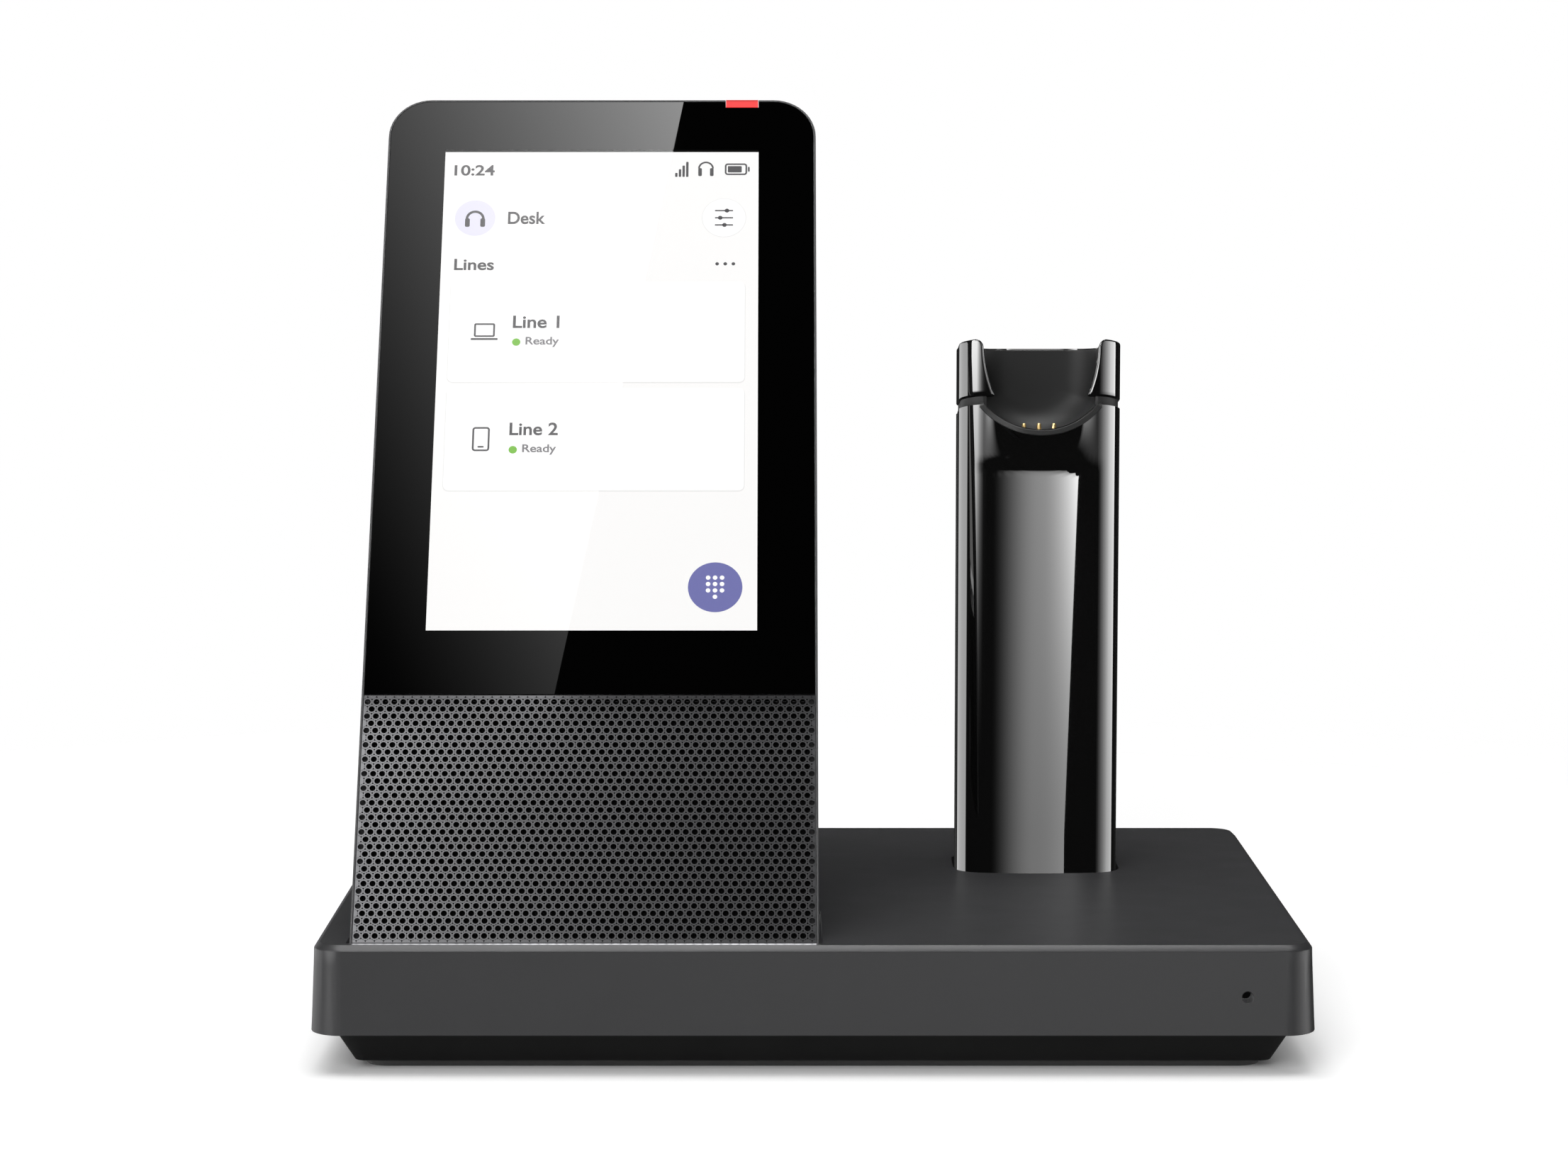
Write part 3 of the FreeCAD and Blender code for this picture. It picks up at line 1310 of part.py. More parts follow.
make_base_top_cover()
make_base_bottom_cover()
make_rubber_base_pad()
make_base_board()
make_board_chips()
make_usb_a_socket("usb_a_socket_left", usb_a_spots[0])
make_usb_a_socket("usb_a_socket_right", usb_a_spots[1])
make_usb_c_socket()
make_power_jack()
make_microphone()
make_antennas()
make_base_screws()
make_screen_bezel()
make_screen_rear_housing()
make_cover_glass()
make_display()
make_screen_board()
make_screen_brackets()
make_screen_screws()
make_screen_ribbon()
make_speaker_grille()
make_speaker()
make_busy_light()
make_post_shells()
make_cradle_cup()
make_cradle_yoke()
make_contacts()
make_post_foot_plate()
write_parts()
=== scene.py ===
from math import asin, atan2, cos, pi, radians, sin, sqrt, tan

import bmesh
import bpy
from mathutils import Matrix, Vector


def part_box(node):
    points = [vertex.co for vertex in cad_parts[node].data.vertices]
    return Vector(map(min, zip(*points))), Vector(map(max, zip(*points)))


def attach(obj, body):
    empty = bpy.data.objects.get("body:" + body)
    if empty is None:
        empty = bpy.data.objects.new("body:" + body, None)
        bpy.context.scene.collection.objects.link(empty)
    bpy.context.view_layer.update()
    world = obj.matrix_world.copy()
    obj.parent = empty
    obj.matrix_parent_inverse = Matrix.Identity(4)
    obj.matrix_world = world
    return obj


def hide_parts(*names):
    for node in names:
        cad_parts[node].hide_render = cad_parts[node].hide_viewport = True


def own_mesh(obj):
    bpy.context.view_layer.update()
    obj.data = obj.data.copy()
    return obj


bl_info = {
    "name": "Headset dock with a touch screen",
    "version": (1, 0, 0),
    "blender": (4, 2, 0),
    "location": "3D View > Sidebar > Dock",
    "description": "Dresses the dock's solids: finishes, screen page, perforated grille, post and cradle",
    "category": "Object",
}

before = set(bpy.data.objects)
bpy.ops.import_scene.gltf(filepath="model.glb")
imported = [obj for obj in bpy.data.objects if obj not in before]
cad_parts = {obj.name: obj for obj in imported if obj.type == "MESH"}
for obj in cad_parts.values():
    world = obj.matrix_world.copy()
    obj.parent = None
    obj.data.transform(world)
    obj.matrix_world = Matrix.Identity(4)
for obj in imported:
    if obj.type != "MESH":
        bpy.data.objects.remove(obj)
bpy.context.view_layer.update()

MM = 0.001
STATION = "station"


def shade(*levels):
    """Display levels from 0 to 255 as a linear colour with alpha; one level gives a grey."""
    levels = levels * 3 if len(levels) == 1 else levels
    linear = [v / 3294.6 if v < 11 else ((v / 255 + 0.055) / 1.055) ** 2.4 for v in levels]
    return (*linear, 1.0)


def length(name, description, millimetres):
    return bpy.props.FloatProperty(name=name, description=description, default=millimetres * MM,
                                   unit="LENGTH", precision=5)


def angle(name, description, degrees):
    return bpy.props.FloatProperty(name=name, description=description, default=radians(degrees),
                                   unit="ROTATION", subtype="ANGLE")


def count(name, description, number):
    return bpy.props.IntProperty(name=name, description=description, default=number, min=1)


def colour(name, description, *levels):
    return bpy.props.FloatVectorProperty(name=name, description=description, default=shade(*levels),
                                         subtype="COLOR", size=4, min=0.0, max=1.0)


class DockSizes(bpy.types.PropertyGroup):
    """Sizes of the dressed pieces that the solids leave open."""

    lean: angle("Lean", "How far the screen unit leans back from upright", 30)
    glass: length("Glass", "Thickness of the cover glass", 1.1)
    page_width: length("Page width", "Width of the lit page", 51.84)
    page_height: length("Page height", "Height of the lit page", 86.4)
    page_bottom: length("Page bottom", "Unlit border below the page", 10.8)
    sheet: length("Grille sheet", "Thickness of the perforated sheet", 0.8)
    hole: length("Grille hole", "Width of one hole of the grille", 0.86)
    hole_rim: length("Hole rim", "Width of the eased rim round a hole", 0.045)
    pitch: length("Grille pitch", "Spacing of the holes along a row", 1.378)
    rows: count("Grille rows", "Rows of holes, alternately full and one hole short", 33)
    columns: count("Grille columns", "Holes in a full row", 51)
    post_depth: length("Post depth", "Post from front to back", 18)
    post_corner: length("Post corner", "Radius of the post's upright corners", 4.5)
    post_crown: length("Post crown", "Radius of the post's bowed front", 60)
    post_wall: length("Post wall", "Thickness of the post's shells", 1.6)
    slope: angle("Head slope", "Fall of the groove and the brim where it leaves the front", 16)
    slope_end: angle("Head slope at the back", "What is left of the fall at the post's back", 0.5)
    groove: length("Groove", "Height of the gap under the ears", 1.35)
    groove_depth: length("Groove depth", "How far the neck lies behind the post's outline", 0.3)
    ears: length("Ears", "Height of the ears above the groove", 9.5)
    ear_edge: length("Ear edge", "Rounding of the ears' upper and lower edges", 0.35)
    ear_corner: length("Ear corner", "Rounding of the ears' inner corners at the brim", 1.4)
    ear_roll: length("Ear roll", "Rounding of the ears' edges at the mouth", 0.3)
    mouth: length("Mouth", "Opening between the ears at the brim", 19.0)
    mouth_curve: length("Mouth curve", "Radius of the ears' inner edges", 24)
    mouth_depth: length("Mouth depth", "Thickness of the ears at the mouth", 2.2)
    cup_width: length("Cup width", "Clear width of the cup", 18.4)
    cup_floor: length("Cup floor", "Lowest point of the cup above the base", 73.0)
    cup_flare: length("Cup flare", "How far the cup's walls lean out at the brim", 0.6)
    cup_sag: length("Cup sag", "Depth of the cup's round floor", 4.9)
    cup_depth: length("Cup depth", "Cup from the post's front to its back wall", 14.0)
    cup_blend: length("Cup blend", "Radius between the cup's wall and back", 5.0)
    lip: length("Lip", "Thickness of the cup's lip", 0.93)
    lip_rise: length("Lip rise", "Height of the lip's rim above the cup's floor", 0.89)
    lip_reach: length("Lip reach", "How far the lip stands out of the post's front", 2.2)
    swell: length("Swell", "How far the post's front stands out between the hollow and the lip", 0.33)
    swell_step: length("Swell step", "Height over which the front comes out to the swell", 2.0)
    chin: length("Chin", "Height of the hollow under the lip", 6.0)
    pin_travel: length("Contact travel", "How far a contact goes down when pressed", 0.9)


class DockColours(bpy.types.PropertyGroup):
    """Colours of the finishes."""

    base: colour("Base", "Moulded cover of the base and frame of the screen", 47, 47, 48)
    shell: colour("Lower shell", "Tapered lower shell and the dark mouldings", 27)
    rubber: colour("Rubber", "Foot pad and microphone boot", 20)
    gloss: colour("Gloss", "Polished shell of the post", 9)
    satin: colour("Satin", "Satin lining of the cup", 30)
    grille: colour("Grille", "Perforated metal sheet", 196, 196, 199)
    gold: colour("Gold", "Plated contacts", 246, 214, 150)
    steel: colour("Steel", "Bare steel", 175, 176, 180)
    lamp: colour("Busy light", "Lit lens at the top edge", 255, 66, 66)
    page: colour("Page", "Background of the lit page", 249, 248, 247)
    card: colour("Card", "Raised cards on the page", 255)
    ink: colour("Ink", "Figures, words and icons", 52, 50, 54)
    quiet: colour("Quiet ink", "Second lines of words", 110, 108, 112)
    accent: colour("Accent", "Round button of the page", 98, 100, 167)
    badge: colour("Badge", "Round badge of the page", 226, 224, 241)
    ready: colour("Ready", "Dots of the lines that are ready", 107, 183, 0)


def maths(operation):
    """A method that adds one Math node."""
    return lambda wire, *values: wire.graph.node("ShaderNodeMath", {"operation": operation},
                                                 dict(enumerate((wire, *values))))


class Wire:
    """A socket of a node tree. Arithmetic on it adds Math nodes."""

    def __init__(self, graph, socket):
        self.graph = graph
        self.socket = socket

    def math(self, operation, *values):
        return maths(operation)(self, *values)

    __add__ = __radd__ = maths("ADD")
    __mul__ = __rmul__ = maths("MULTIPLY")
    __sub__ = maths("SUBTRACT")
    __truediv__ = maths("DIVIDE")
    __pow__ = maths("POWER")
    __gt__ = maths("GREATER_THAN")
    __lt__ = maths("LESS_THAN")
    __abs__ = maths("ABSOLUTE")

    def __rsub__(self, other):
        return (self * -1) + other

    def clipped(self, low=0.0, high=1.0):
        return self.graph.node("ShaderNodeClamp", {}, {"Value": self, "Min": low, "Max": high})

    def split(self):
        """The three numbers of a vector."""
        parts = self.graph.node("ShaderNodeSeparateXYZ", {}, {"Vector": self})
        return [Wire(self.graph, parts.socket.node.outputs[axis]) for axis in "XYZ"]


class Graph:
    """A node tree under construction."""

    def __init__(self, tree):
        self.tree = tree

    def join(self, socket, value):
        if isinstance(value, Wire):
            self.tree.links.new(value.socket, socket)
        else:
            socket.default_value = value

    def node(self, kind, settings, inputs, output=0):
        """Adds a node, its settings first, then the values or links of its sockets."""
        made = self.tree.nodes.new(kind)
        for key, value in settings.items():
            setattr(made, key, value)
        for key, value in inputs.items():
            self.join(made.inputs[key], value)
        return Wire(self, made.outputs[output])


class Finish(Graph):
    """A material under construction: a Principled shader and the nodes that feed it."""

    def __init__(self, name, **surface):
        self.material = bpy.data.materials.new(name)
        self.material.use_nodes = True
        super().__init__(self.material.node_tree)
        self.shader = self.tree.nodes["Principled BSDF"]
        self.output = self.tree.nodes["Material Output"]
        for socket, value in surface.items():
            self.set(socket.replace("_", " "), value)

    def set(self, socket, value):
        """Gives one input of the shader a value or a link."""
        self.join(self.shader.inputs[socket], value)
        return self

    def place(self):
        """Object coordinates as a vector."""
        return self.node("ShaderNodeTexCoord", {}, {}, "Object")

    def axes(self):
        """Object coordinates as three numbers, in metres."""
        return self.place().split()

    def noise(self, grain, detail=2.0):
        """Even noise from 0 to 1 whose spots are about as wide as the grain, in metres."""
        return self.node("ShaderNodeTexNoise", {}, {"Vector": self.place(), "Scale": 1 / grain, "Detail": detail})

    def tint(self, factor, first, second):
        """A colour between two, by a factor."""
        return self.node("ShaderNodeMix", {"data_type": "RGBA"},
                         {"Factor": factor, "A": first, "B": second}, "Result")

    def bump(self, height, depth):
        """Relief of the given depth, in metres, on the shader's normal."""
        relief = self.node("ShaderNodeBump", {}, {"Height": height, "Distance": depth, "Strength": 1.0})
        return self.set("Normal", relief)


def darker(tint, share):
    return (*[v * share for v in tint[:3]], 1.0)


def moulded(name, tint, roughness, specular=0.5, grain=0.35 * MM, depth=0.006 * MM):
    """Moulded plastic: fine spark-eroded grain, and a colour and gloss that drift a little."""
    finish = Finish(name, Specular_IOR_Level=specular)
    drift = finish.noise(9 * MM)
    finish.set("Base Color", finish.tint(drift, darker(tint, 0.9), darker(tint, 1.1)))
    finish.set("Roughness", drift * 0.08 + (roughness - 0.04))
    return finish.bump(finish.noise(grain), depth)


def polished(name, tint):
    """Polished plastic: a clear coat over a dark body with the faintest long wave."""
    finish = Finish(name, Coat_Weight=1.0, Coat_Roughness=0.02, IOR=1.55)
    drift = finish.noise(14 * MM)
    finish.set("Base Color", finish.tint(drift, darker(tint, 0.85), darker(tint, 1.15)))
    finish.set("Roughness", drift * 0.02 + 0.01)
    return finish


def metal(name, tint, roughness, grain=0.12 * MM):
    """Metal with a fine drawn grain in its gloss."""
    finish = Finish(name, Metallic=1.0)
    drift = finish.noise(grain, 4.0)
    finish.set("Base Color", finish.tint(drift, darker(tint, 0.92), darker(tint, 1.05)))
    finish.set("Roughness", (drift * 0.8 + 0.6) * roughness)
    return finish


def lit(name, tint, cell, gap):
    """A lit layer of the display: its colour and the faint dark lines between picture cells."""
    finish = Finish(name, Base_Color=(0, 0, 0, 1), Roughness=0.4, Emission_Strength=1.06)
    across, _, along = finish.axes()
    lines = [(value / cell).math("FRACT") < gap for value in (across, along)]
    line = lines[0].math("MAXIMUM", lines[1])
    return finish.set("Emission Color", finish.tint(line, tint, darker(tint, 0.94)))


def woven(name, tint, thread):
    """Speaker cloth: crossed threads that rise and dip."""
    finish = Finish(name, Roughness=0.95, Specular_IOR_Level=0.1)
    across, _, along = finish.axes()
    weave = (across * (pi / thread)).math("SINE") * (along * (pi / thread)).math("SINE")
    # The colour follows the relief: painted shade in the dips of the weave, painted light on its raised points.
    finish.set("Base Color", finish.tint(weave * 0.5 + 0.5, darker(tint, 0.5), darker(tint, 1.4)))
    return finish.bump(weave, 0.05 * MM)


FINISHES = {}


def finish_for(slot, colours):
    """The finish of a material slot of the record, made once."""
    if slot not in FINISHES:
        recipes = {
            "base_grey": (moulded, colours.base, 0.4, 0.3),
            "bezel_grey": (moulded, colours.base, 0.5),
            "housing_grey": (moulded, colours.base, 0.6, 0.4),
            "shell_black": (moulded, colours.shell, 0.5),
            "pad_rubber": (moulded, colours.rubber, 0.8, 0.5, 0.8 * MM, 0.02 * MM),
            "boot_rubber": (moulded, colours.rubber, 0.8, 0.5, 0.5 * MM, 0.01 * MM),
            "jack_black": (moulded, colours.shell, 0.45),
            "block_black": (moulded, colours.shell, 0.45),
            "chip_black": (moulded, colours.shell, 0.6),
            "basket_black": (moulded, colours.shell, 0.5),
            "board_green": (moulded, shade(18, 74, 46), 0.4, 0.5, 1.5 * MM, 0.01 * MM),
            "ribbon_amber": (moulded, shade(196, 120, 30), 0.35, 0.5, 1 * MM, 0.004 * MM),
            "cone_paper": (moulded, shade(44), 0.9, 0.5, 0.6 * MM, 0.03 * MM),
            # The speaker cloth is black, made darker still so that the grille's holes read black: its own colour
            # and painted shade.
            "cloth_black": (woven, shade(7), 0.3 * MM),
            "post_gloss": (polished, colours.gloss),
            "cradle_satin": (moulded, colours.satin, 0.55, 0.3, 0.5 * MM, 0.001 * MM),
            "socket_steel": (metal, colours.steel, 0.3),
            # The steel capsule is given a near-black finish with hardly any gloss, so that the microphone's hole
            # stays dark: painted shade.
            "capsule_steel": (moulded, shade(6), 0.8, 0.05),
            "screw_steel": (metal, darker(colours.steel, 0.6), 0.3),
            "tray_steel": (metal, colours.steel, 0.4, 0.3 * MM),
            # The bracket's steel is darkened to 0.12 of its colour so that it stays dark under the studio's bright
            # roof: painted shade.
            "bracket_steel": (metal, darker(colours.steel, 0.12), 0.6, 0.4 * MM),
            "spring_steel": (metal, colours.steel, 0.25),
            "magnet_iron": (metal, shade(150), 0.4, 0.5 * MM),
            "aerial_copper": (metal, shade(196, 128, 88), 0.35),
            "grille_metal": (metal, colours.grille, 0.06),
            "contact_gold": (metal, colours.gold, 0.4),
            "cover_glass": (clear_glass, bpy.context.scene.dock_sizes),
            "display": (moulded, shade(10), 0.5, 0.0, 0.4 * MM, 0.001 * MM),
            "lens_red": (lamp, colours.lamp),
            "led_white": (moulded, shade(235, 232, 210), 0.4),
        }
        maker, *values = recipes[slot]
        FINISHES[slot] = maker(slot, *values)
    return FINISHES[slot].material


def clear_glass(name, sizes):
    """Cover glass: clear over the page, dark to its edges, with the faintest drift in its polish."""
    finish = Finish(name, Transmission_Weight=1.0, IOR=1.5)
    across, back, rise = finish.axes()
    corner = leaning_face(name, sizes, sizes.glass).translation
    up = (rise - corner.z) * cos(sizes.lean) + (back - corner.y) * sin(sizes.lean)
    aside = abs(across - corner.x) - sizes.page_width / 2
    above = abs(up - sizes.page_bottom - sizes.page_height / 2 - 0.1 * MM) - sizes.page_height / 2 - 0.1 * MM
    dark = aside.math("MAXIMUM", above) > 0.05 * MM
    finish.set("Base Color", finish.tint(dark, (1, 1, 1, 1), (0, 0, 0, 1)))
    return finish.set("Roughness", finish.noise(20 * MM) * 0.01)


def lamp(name, tint):
    """A lit lens, a little deeper in colour near its upper edge."""
    finish = Finish(name, Base_Color=darker(tint, 0.1), Roughness=0.25, Specular_IOR_Level=0.2,
                    Emission_Strength=1.0)
    rise = finish.axes()[2]
    _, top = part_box("busy_light_lens")
    edge = (rise - (top.z - 0.5 * MM)) / (0.4 * MM)
    return finish.set("Emission Color", finish.tint(edge.clipped(), tint, darker(tint, 0.55)))


def settings(context):
    return context.scene.dock_sizes, context.scene.dock_colours


def add_piece(name, mesh, slot, material, body=STATION, replaced=(), crease=30, layers=()):
    """Makes an object of a mesh, at rest in the row frame, riding on its body."""
    data = bpy.data.meshes.new(name)
    mesh.to_mesh(data)
    mesh.free()
    data.materials.append(material)
    data.shade_smooth()
    data.set_sharp_from_angle(angle=radians(crease))
    piece = bpy.data.objects.new(name, data)
    bpy.context.scene.collection.objects.link(piece)
    for kind, values in layers:
        modifier = piece.modifiers.new(kind.title(), kind)
        for key, value in values.items():
            setattr(modifier, key, value)
    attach(piece, body)
    if replaced:
        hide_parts(*replaced)
    return piece


def dressed(name, mesh, slot, colours, **options):
    """A piece in the finish of its own slot."""
    return add_piece(name, mesh, slot, finish_for(slot, colours), **options)


def corners(geometry):
    """The vertices among what an operator returns."""
    return [part for part in geometry if isinstance(part, bmesh.types.BMVert)]


def eased(width, segments=2, limit=40):
    """A Bevel modifier's settings for edges sharper than the limit."""
    return "BEVEL", {"width": width, "segments": segments, "limit_method": "ANGLE",
                     "angle_limit": radians(limit), "profile": 0.5, "harden_normals": True}


def walled(thickness):
    """A Solidify modifier's settings that leave the outer face where it is."""
    return "SOLIDIFY", {"thickness": thickness, "offset": -1.0, "use_even_offset": True}


def merged_copy(node):
    """A node's own mesh with its triangles joined and its flats made single faces."""
    mesh = bmesh.new()
    mesh.from_mesh(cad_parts[node].data)
    bmesh.ops.remove_doubles(mesh, verts=mesh.verts, dist=0.0005 * MM)
    bmesh.ops.dissolve_limit(mesh, angle_limit=radians(0.6), verts=mesh.verts, edges=mesh.edges)
    return mesh


def mapped_sheet(columns, rows, placed):
    """A grid whose corners go where placed(u, v) says, u and v running from 0 to 1."""
    mesh = bmesh.new()
    bmesh.ops.create_grid(mesh, x_segments=columns, y_segments=rows, size=1.0)
    for vert in mesh.verts:
        vert.co = placed((vert.co.x + 1) / 2, (vert.co.y + 1) / 2)
    return mesh


def mirrored(half):
    """A walk over u from 0 to 1 that comes back on the other side of the middle."""
    def whole(u, *rest):
        point = half(min(u, 1 - u), *rest)
        return Vector((-point.x, point.y, 0)) if u > 0.5 else point
    return whole


def between(low, high, share):
    return low + (high - low) * share


def leaning_face(node, sizes, thickness):
    """The plane of the screen's face: origin at the middle of a plate's lower front edge, Y up the face, Z out."""
    low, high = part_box(node)
    origin = Vector(((low.x + high.x) / 2, low.y, low.z + thickness * sin(sizes.lean)))
    return Matrix.Translation(origin) @ Matrix.Rotation(pi / 2 - sizes.lean, 4, "X")


class DOCK_OT_finishes(bpy.types.Operator):
    """Gives every solid of the dock its finish"""

    bl_idname = "dock.finishes"
    bl_label = "Finishes"

    def execute(self, context):
        _, colours = settings(context)
        for name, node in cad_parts.items():
            node.visible_glossy = name == "speaker_cloth"
            for slot in node.material_slots:
                slot.material = finish_for(slot.material.name, colours)
        return {"FINISHED"}


class DOCK_OT_mouldings(bpy.types.Operator):
    """Makes the base's covers and the screen's frame with eased edges"""

    bl_idname = "dock.mouldings"
    bl_label = "Mouldings"

    def execute(self, context):
        _, colours = settings(context)
        for node, slot, edge in (("base_top_cover", "base_grey", 0.12), ("base_bottom_cover", "shell_black", 0.2),
                                 ("screen_bezel", "bezel_grey", 0.1)):
            piece = dressed(f"{node}_moulding", merged_copy(node), slot, colours, replaced=[node],
                            layers=[eased(edge * MM)])
            piece.visible_glossy = not node.startswith("base")
        return {"FINISHED"}


# Depths of the page's layers behind the front of the glass, in millimetres, and the thickness of each
# The edge layer holds the cards' painted drop shadows: darker plates a little larger than the cards, laid under
# them.
PAGE_LAYERS = {"ground": 1.37, "edge": 1.345, "card": 1.32, "ink": 1.29}
PRINT = 0.01 * MM
# Width of a picture cell of the display, and the share of it that is the dark line between cells
CELL, CELL_GAP = 0.11 * MM, 0.12
# Tops of the two cards and centre of the round key beside the badge, in millimetres on the page
CARD_TOPS = (24.07, 43.45)
ROUND_KEY = (46.22, 12.06)


class Page:
    """One layer of the lit page: flat shapes set out in millimetres from the page's upper left corner."""

    def __init__(self, sizes, layer):
        self.mesh = bmesh.new()
        self.plane = leaning_face("cover_glass", sizes, sizes.glass)
        depth = PAGE_LAYERS[layer] * MM
        self.corner = Vector((-sizes.page_width / 2, sizes.page_bottom + sizes.page_height, -depth))

    def spot(self, right, down):
        return self.corner + Vector((right, -down, 0)) * MM

    def lay(self, shape, right, down, turn=0):
        """Sets a flat shape, drawn in millimetres round its own origin, on the page."""
        seat = Matrix.Translation(self.spot(right, down)) @ Matrix.Rotation(turn, 4, "Z") @ Matrix.Scale(MM, 4)
        bmesh.ops.transform(shape, matrix=seat, verts=shape.verts)
        lifted = bmesh.ops.extrude_face_region(shape, geom=shape.faces[:])["geom"]
        bmesh.ops.translate(shape, vec=(0, 0, -PRINT), verts=corners(lifted))
        bmesh.ops.recalc_face_normals(shape, faces=shape.faces)
        holder = bpy.data.meshes.new("shape")
        shape.to_mesh(holder)
        shape.free()
        self.mesh.from_mesh(holder)
        bpy.data.meshes.remove(holder)

    def plate(self, left, top, width, height, corner=0.0, hollow=0.0):
        """A rectangle with rounded corners; hollow leaves only a rim of that width."""
        shape = bmesh.new()
        bmesh.ops.create_grid(shape, x_segments=1, y_segments=1, size=0.5)
        bmesh.ops.scale(shape, vec=(width, height, 1), verts=shape.verts)
        if corner:
            bmesh.ops.bevel(shape, geom=shape.verts[:], offset=corner, offset_type="OFFSET", segments=6,
                            profile=0.5, affect="VERTICES", material=-1)
        if hollow:
            middle = shape.faces[:]
            bmesh.ops.inset_region(shape, faces=middle, thickness=hollow, use_boundary=True,
                                   use_even_offset=True)
            bmesh.ops.delete(shape, geom=middle, context="FACES")
        self.lay(shape, left + width / 2, top + height / 2)

    def disc(self, right, down, diameter, segments=40):
        shape = bmesh.new()
        bmesh.ops.create_circle(shape, cap_ends=True, segments=segments, radius=diameter / 2)
        self.lay(shape, right, down)

    def arc(self, right, down, radius, width, start, sweep):
        """A bent stroke round a centre, from a start angle."""
        shape = bmesh.new()
        ends = [shape.verts.new((r, 0, 0)) for r in (radius - width / 2, radius + width / 2)]
        edge = shape.edges.new(ends)
        bmesh.ops.rotate(shape, verts=ends, matrix=Matrix.Rotation(start, 3, "Z"))
        bmesh.ops.spin(shape, geom=ends + [edge], cent=(0, 0, 0), axis=(0, 0, 1), angle=sweep, steps=24)
        bmesh.ops.recalc_face_normals(shape, faces=shape.faces)
        if shape.faces[0].normal.z < 0:
            bmesh.ops.reverse_faces(shape, faces=shape.faces)
        self.lay(shape, right, down)

    def word(self, text, left, top, right, bottom):
        """Figures or a word, drawn to fill the height of a box from its left edge."""
        curve = bpy.data.curves.new("word", "FONT")
        curve.body = text
        curve.offset = 0.02
        holder = bpy.data.objects.new("word", curve)
        bpy.context.scene.collection.objects.link(holder)
        bpy.context.view_layer.update()
        data = bpy.data.meshes.new_from_object(holder.evaluated_get(bpy.context.evaluated_depsgraph_get()))
        bpy.data.objects.remove(holder)
        bpy.data.curves.remove(curve)
        shape = bmesh.new()
        shape.from_mesh(data)
        bpy.data.meshes.remove(data)
        bmesh.ops.remove_doubles(shape, verts=shape.verts, dist=1e-5)
        spots = [vert.co for vert in shape.verts]
        low = Vector(map(min, *spots))
        high = Vector(map(max, *spots))
        rise = (bottom - top) / (high.y - low.y)
        run = (right - left) / (high.x - low.x)
        bmesh.ops.translate(shape, vec=-low, verts=shape.verts)
        bmesh.ops.scale(shape, vec=(run, rise, 1), verts=shape.verts)
        self.lay(shape, left, bottom)

    def finish(self, name, material):
        bmesh.ops.transform(self.mesh, matrix=self.plane, verts=self.mesh.verts)
        add_piece(name, self.mesh, "display", material, crease=20)


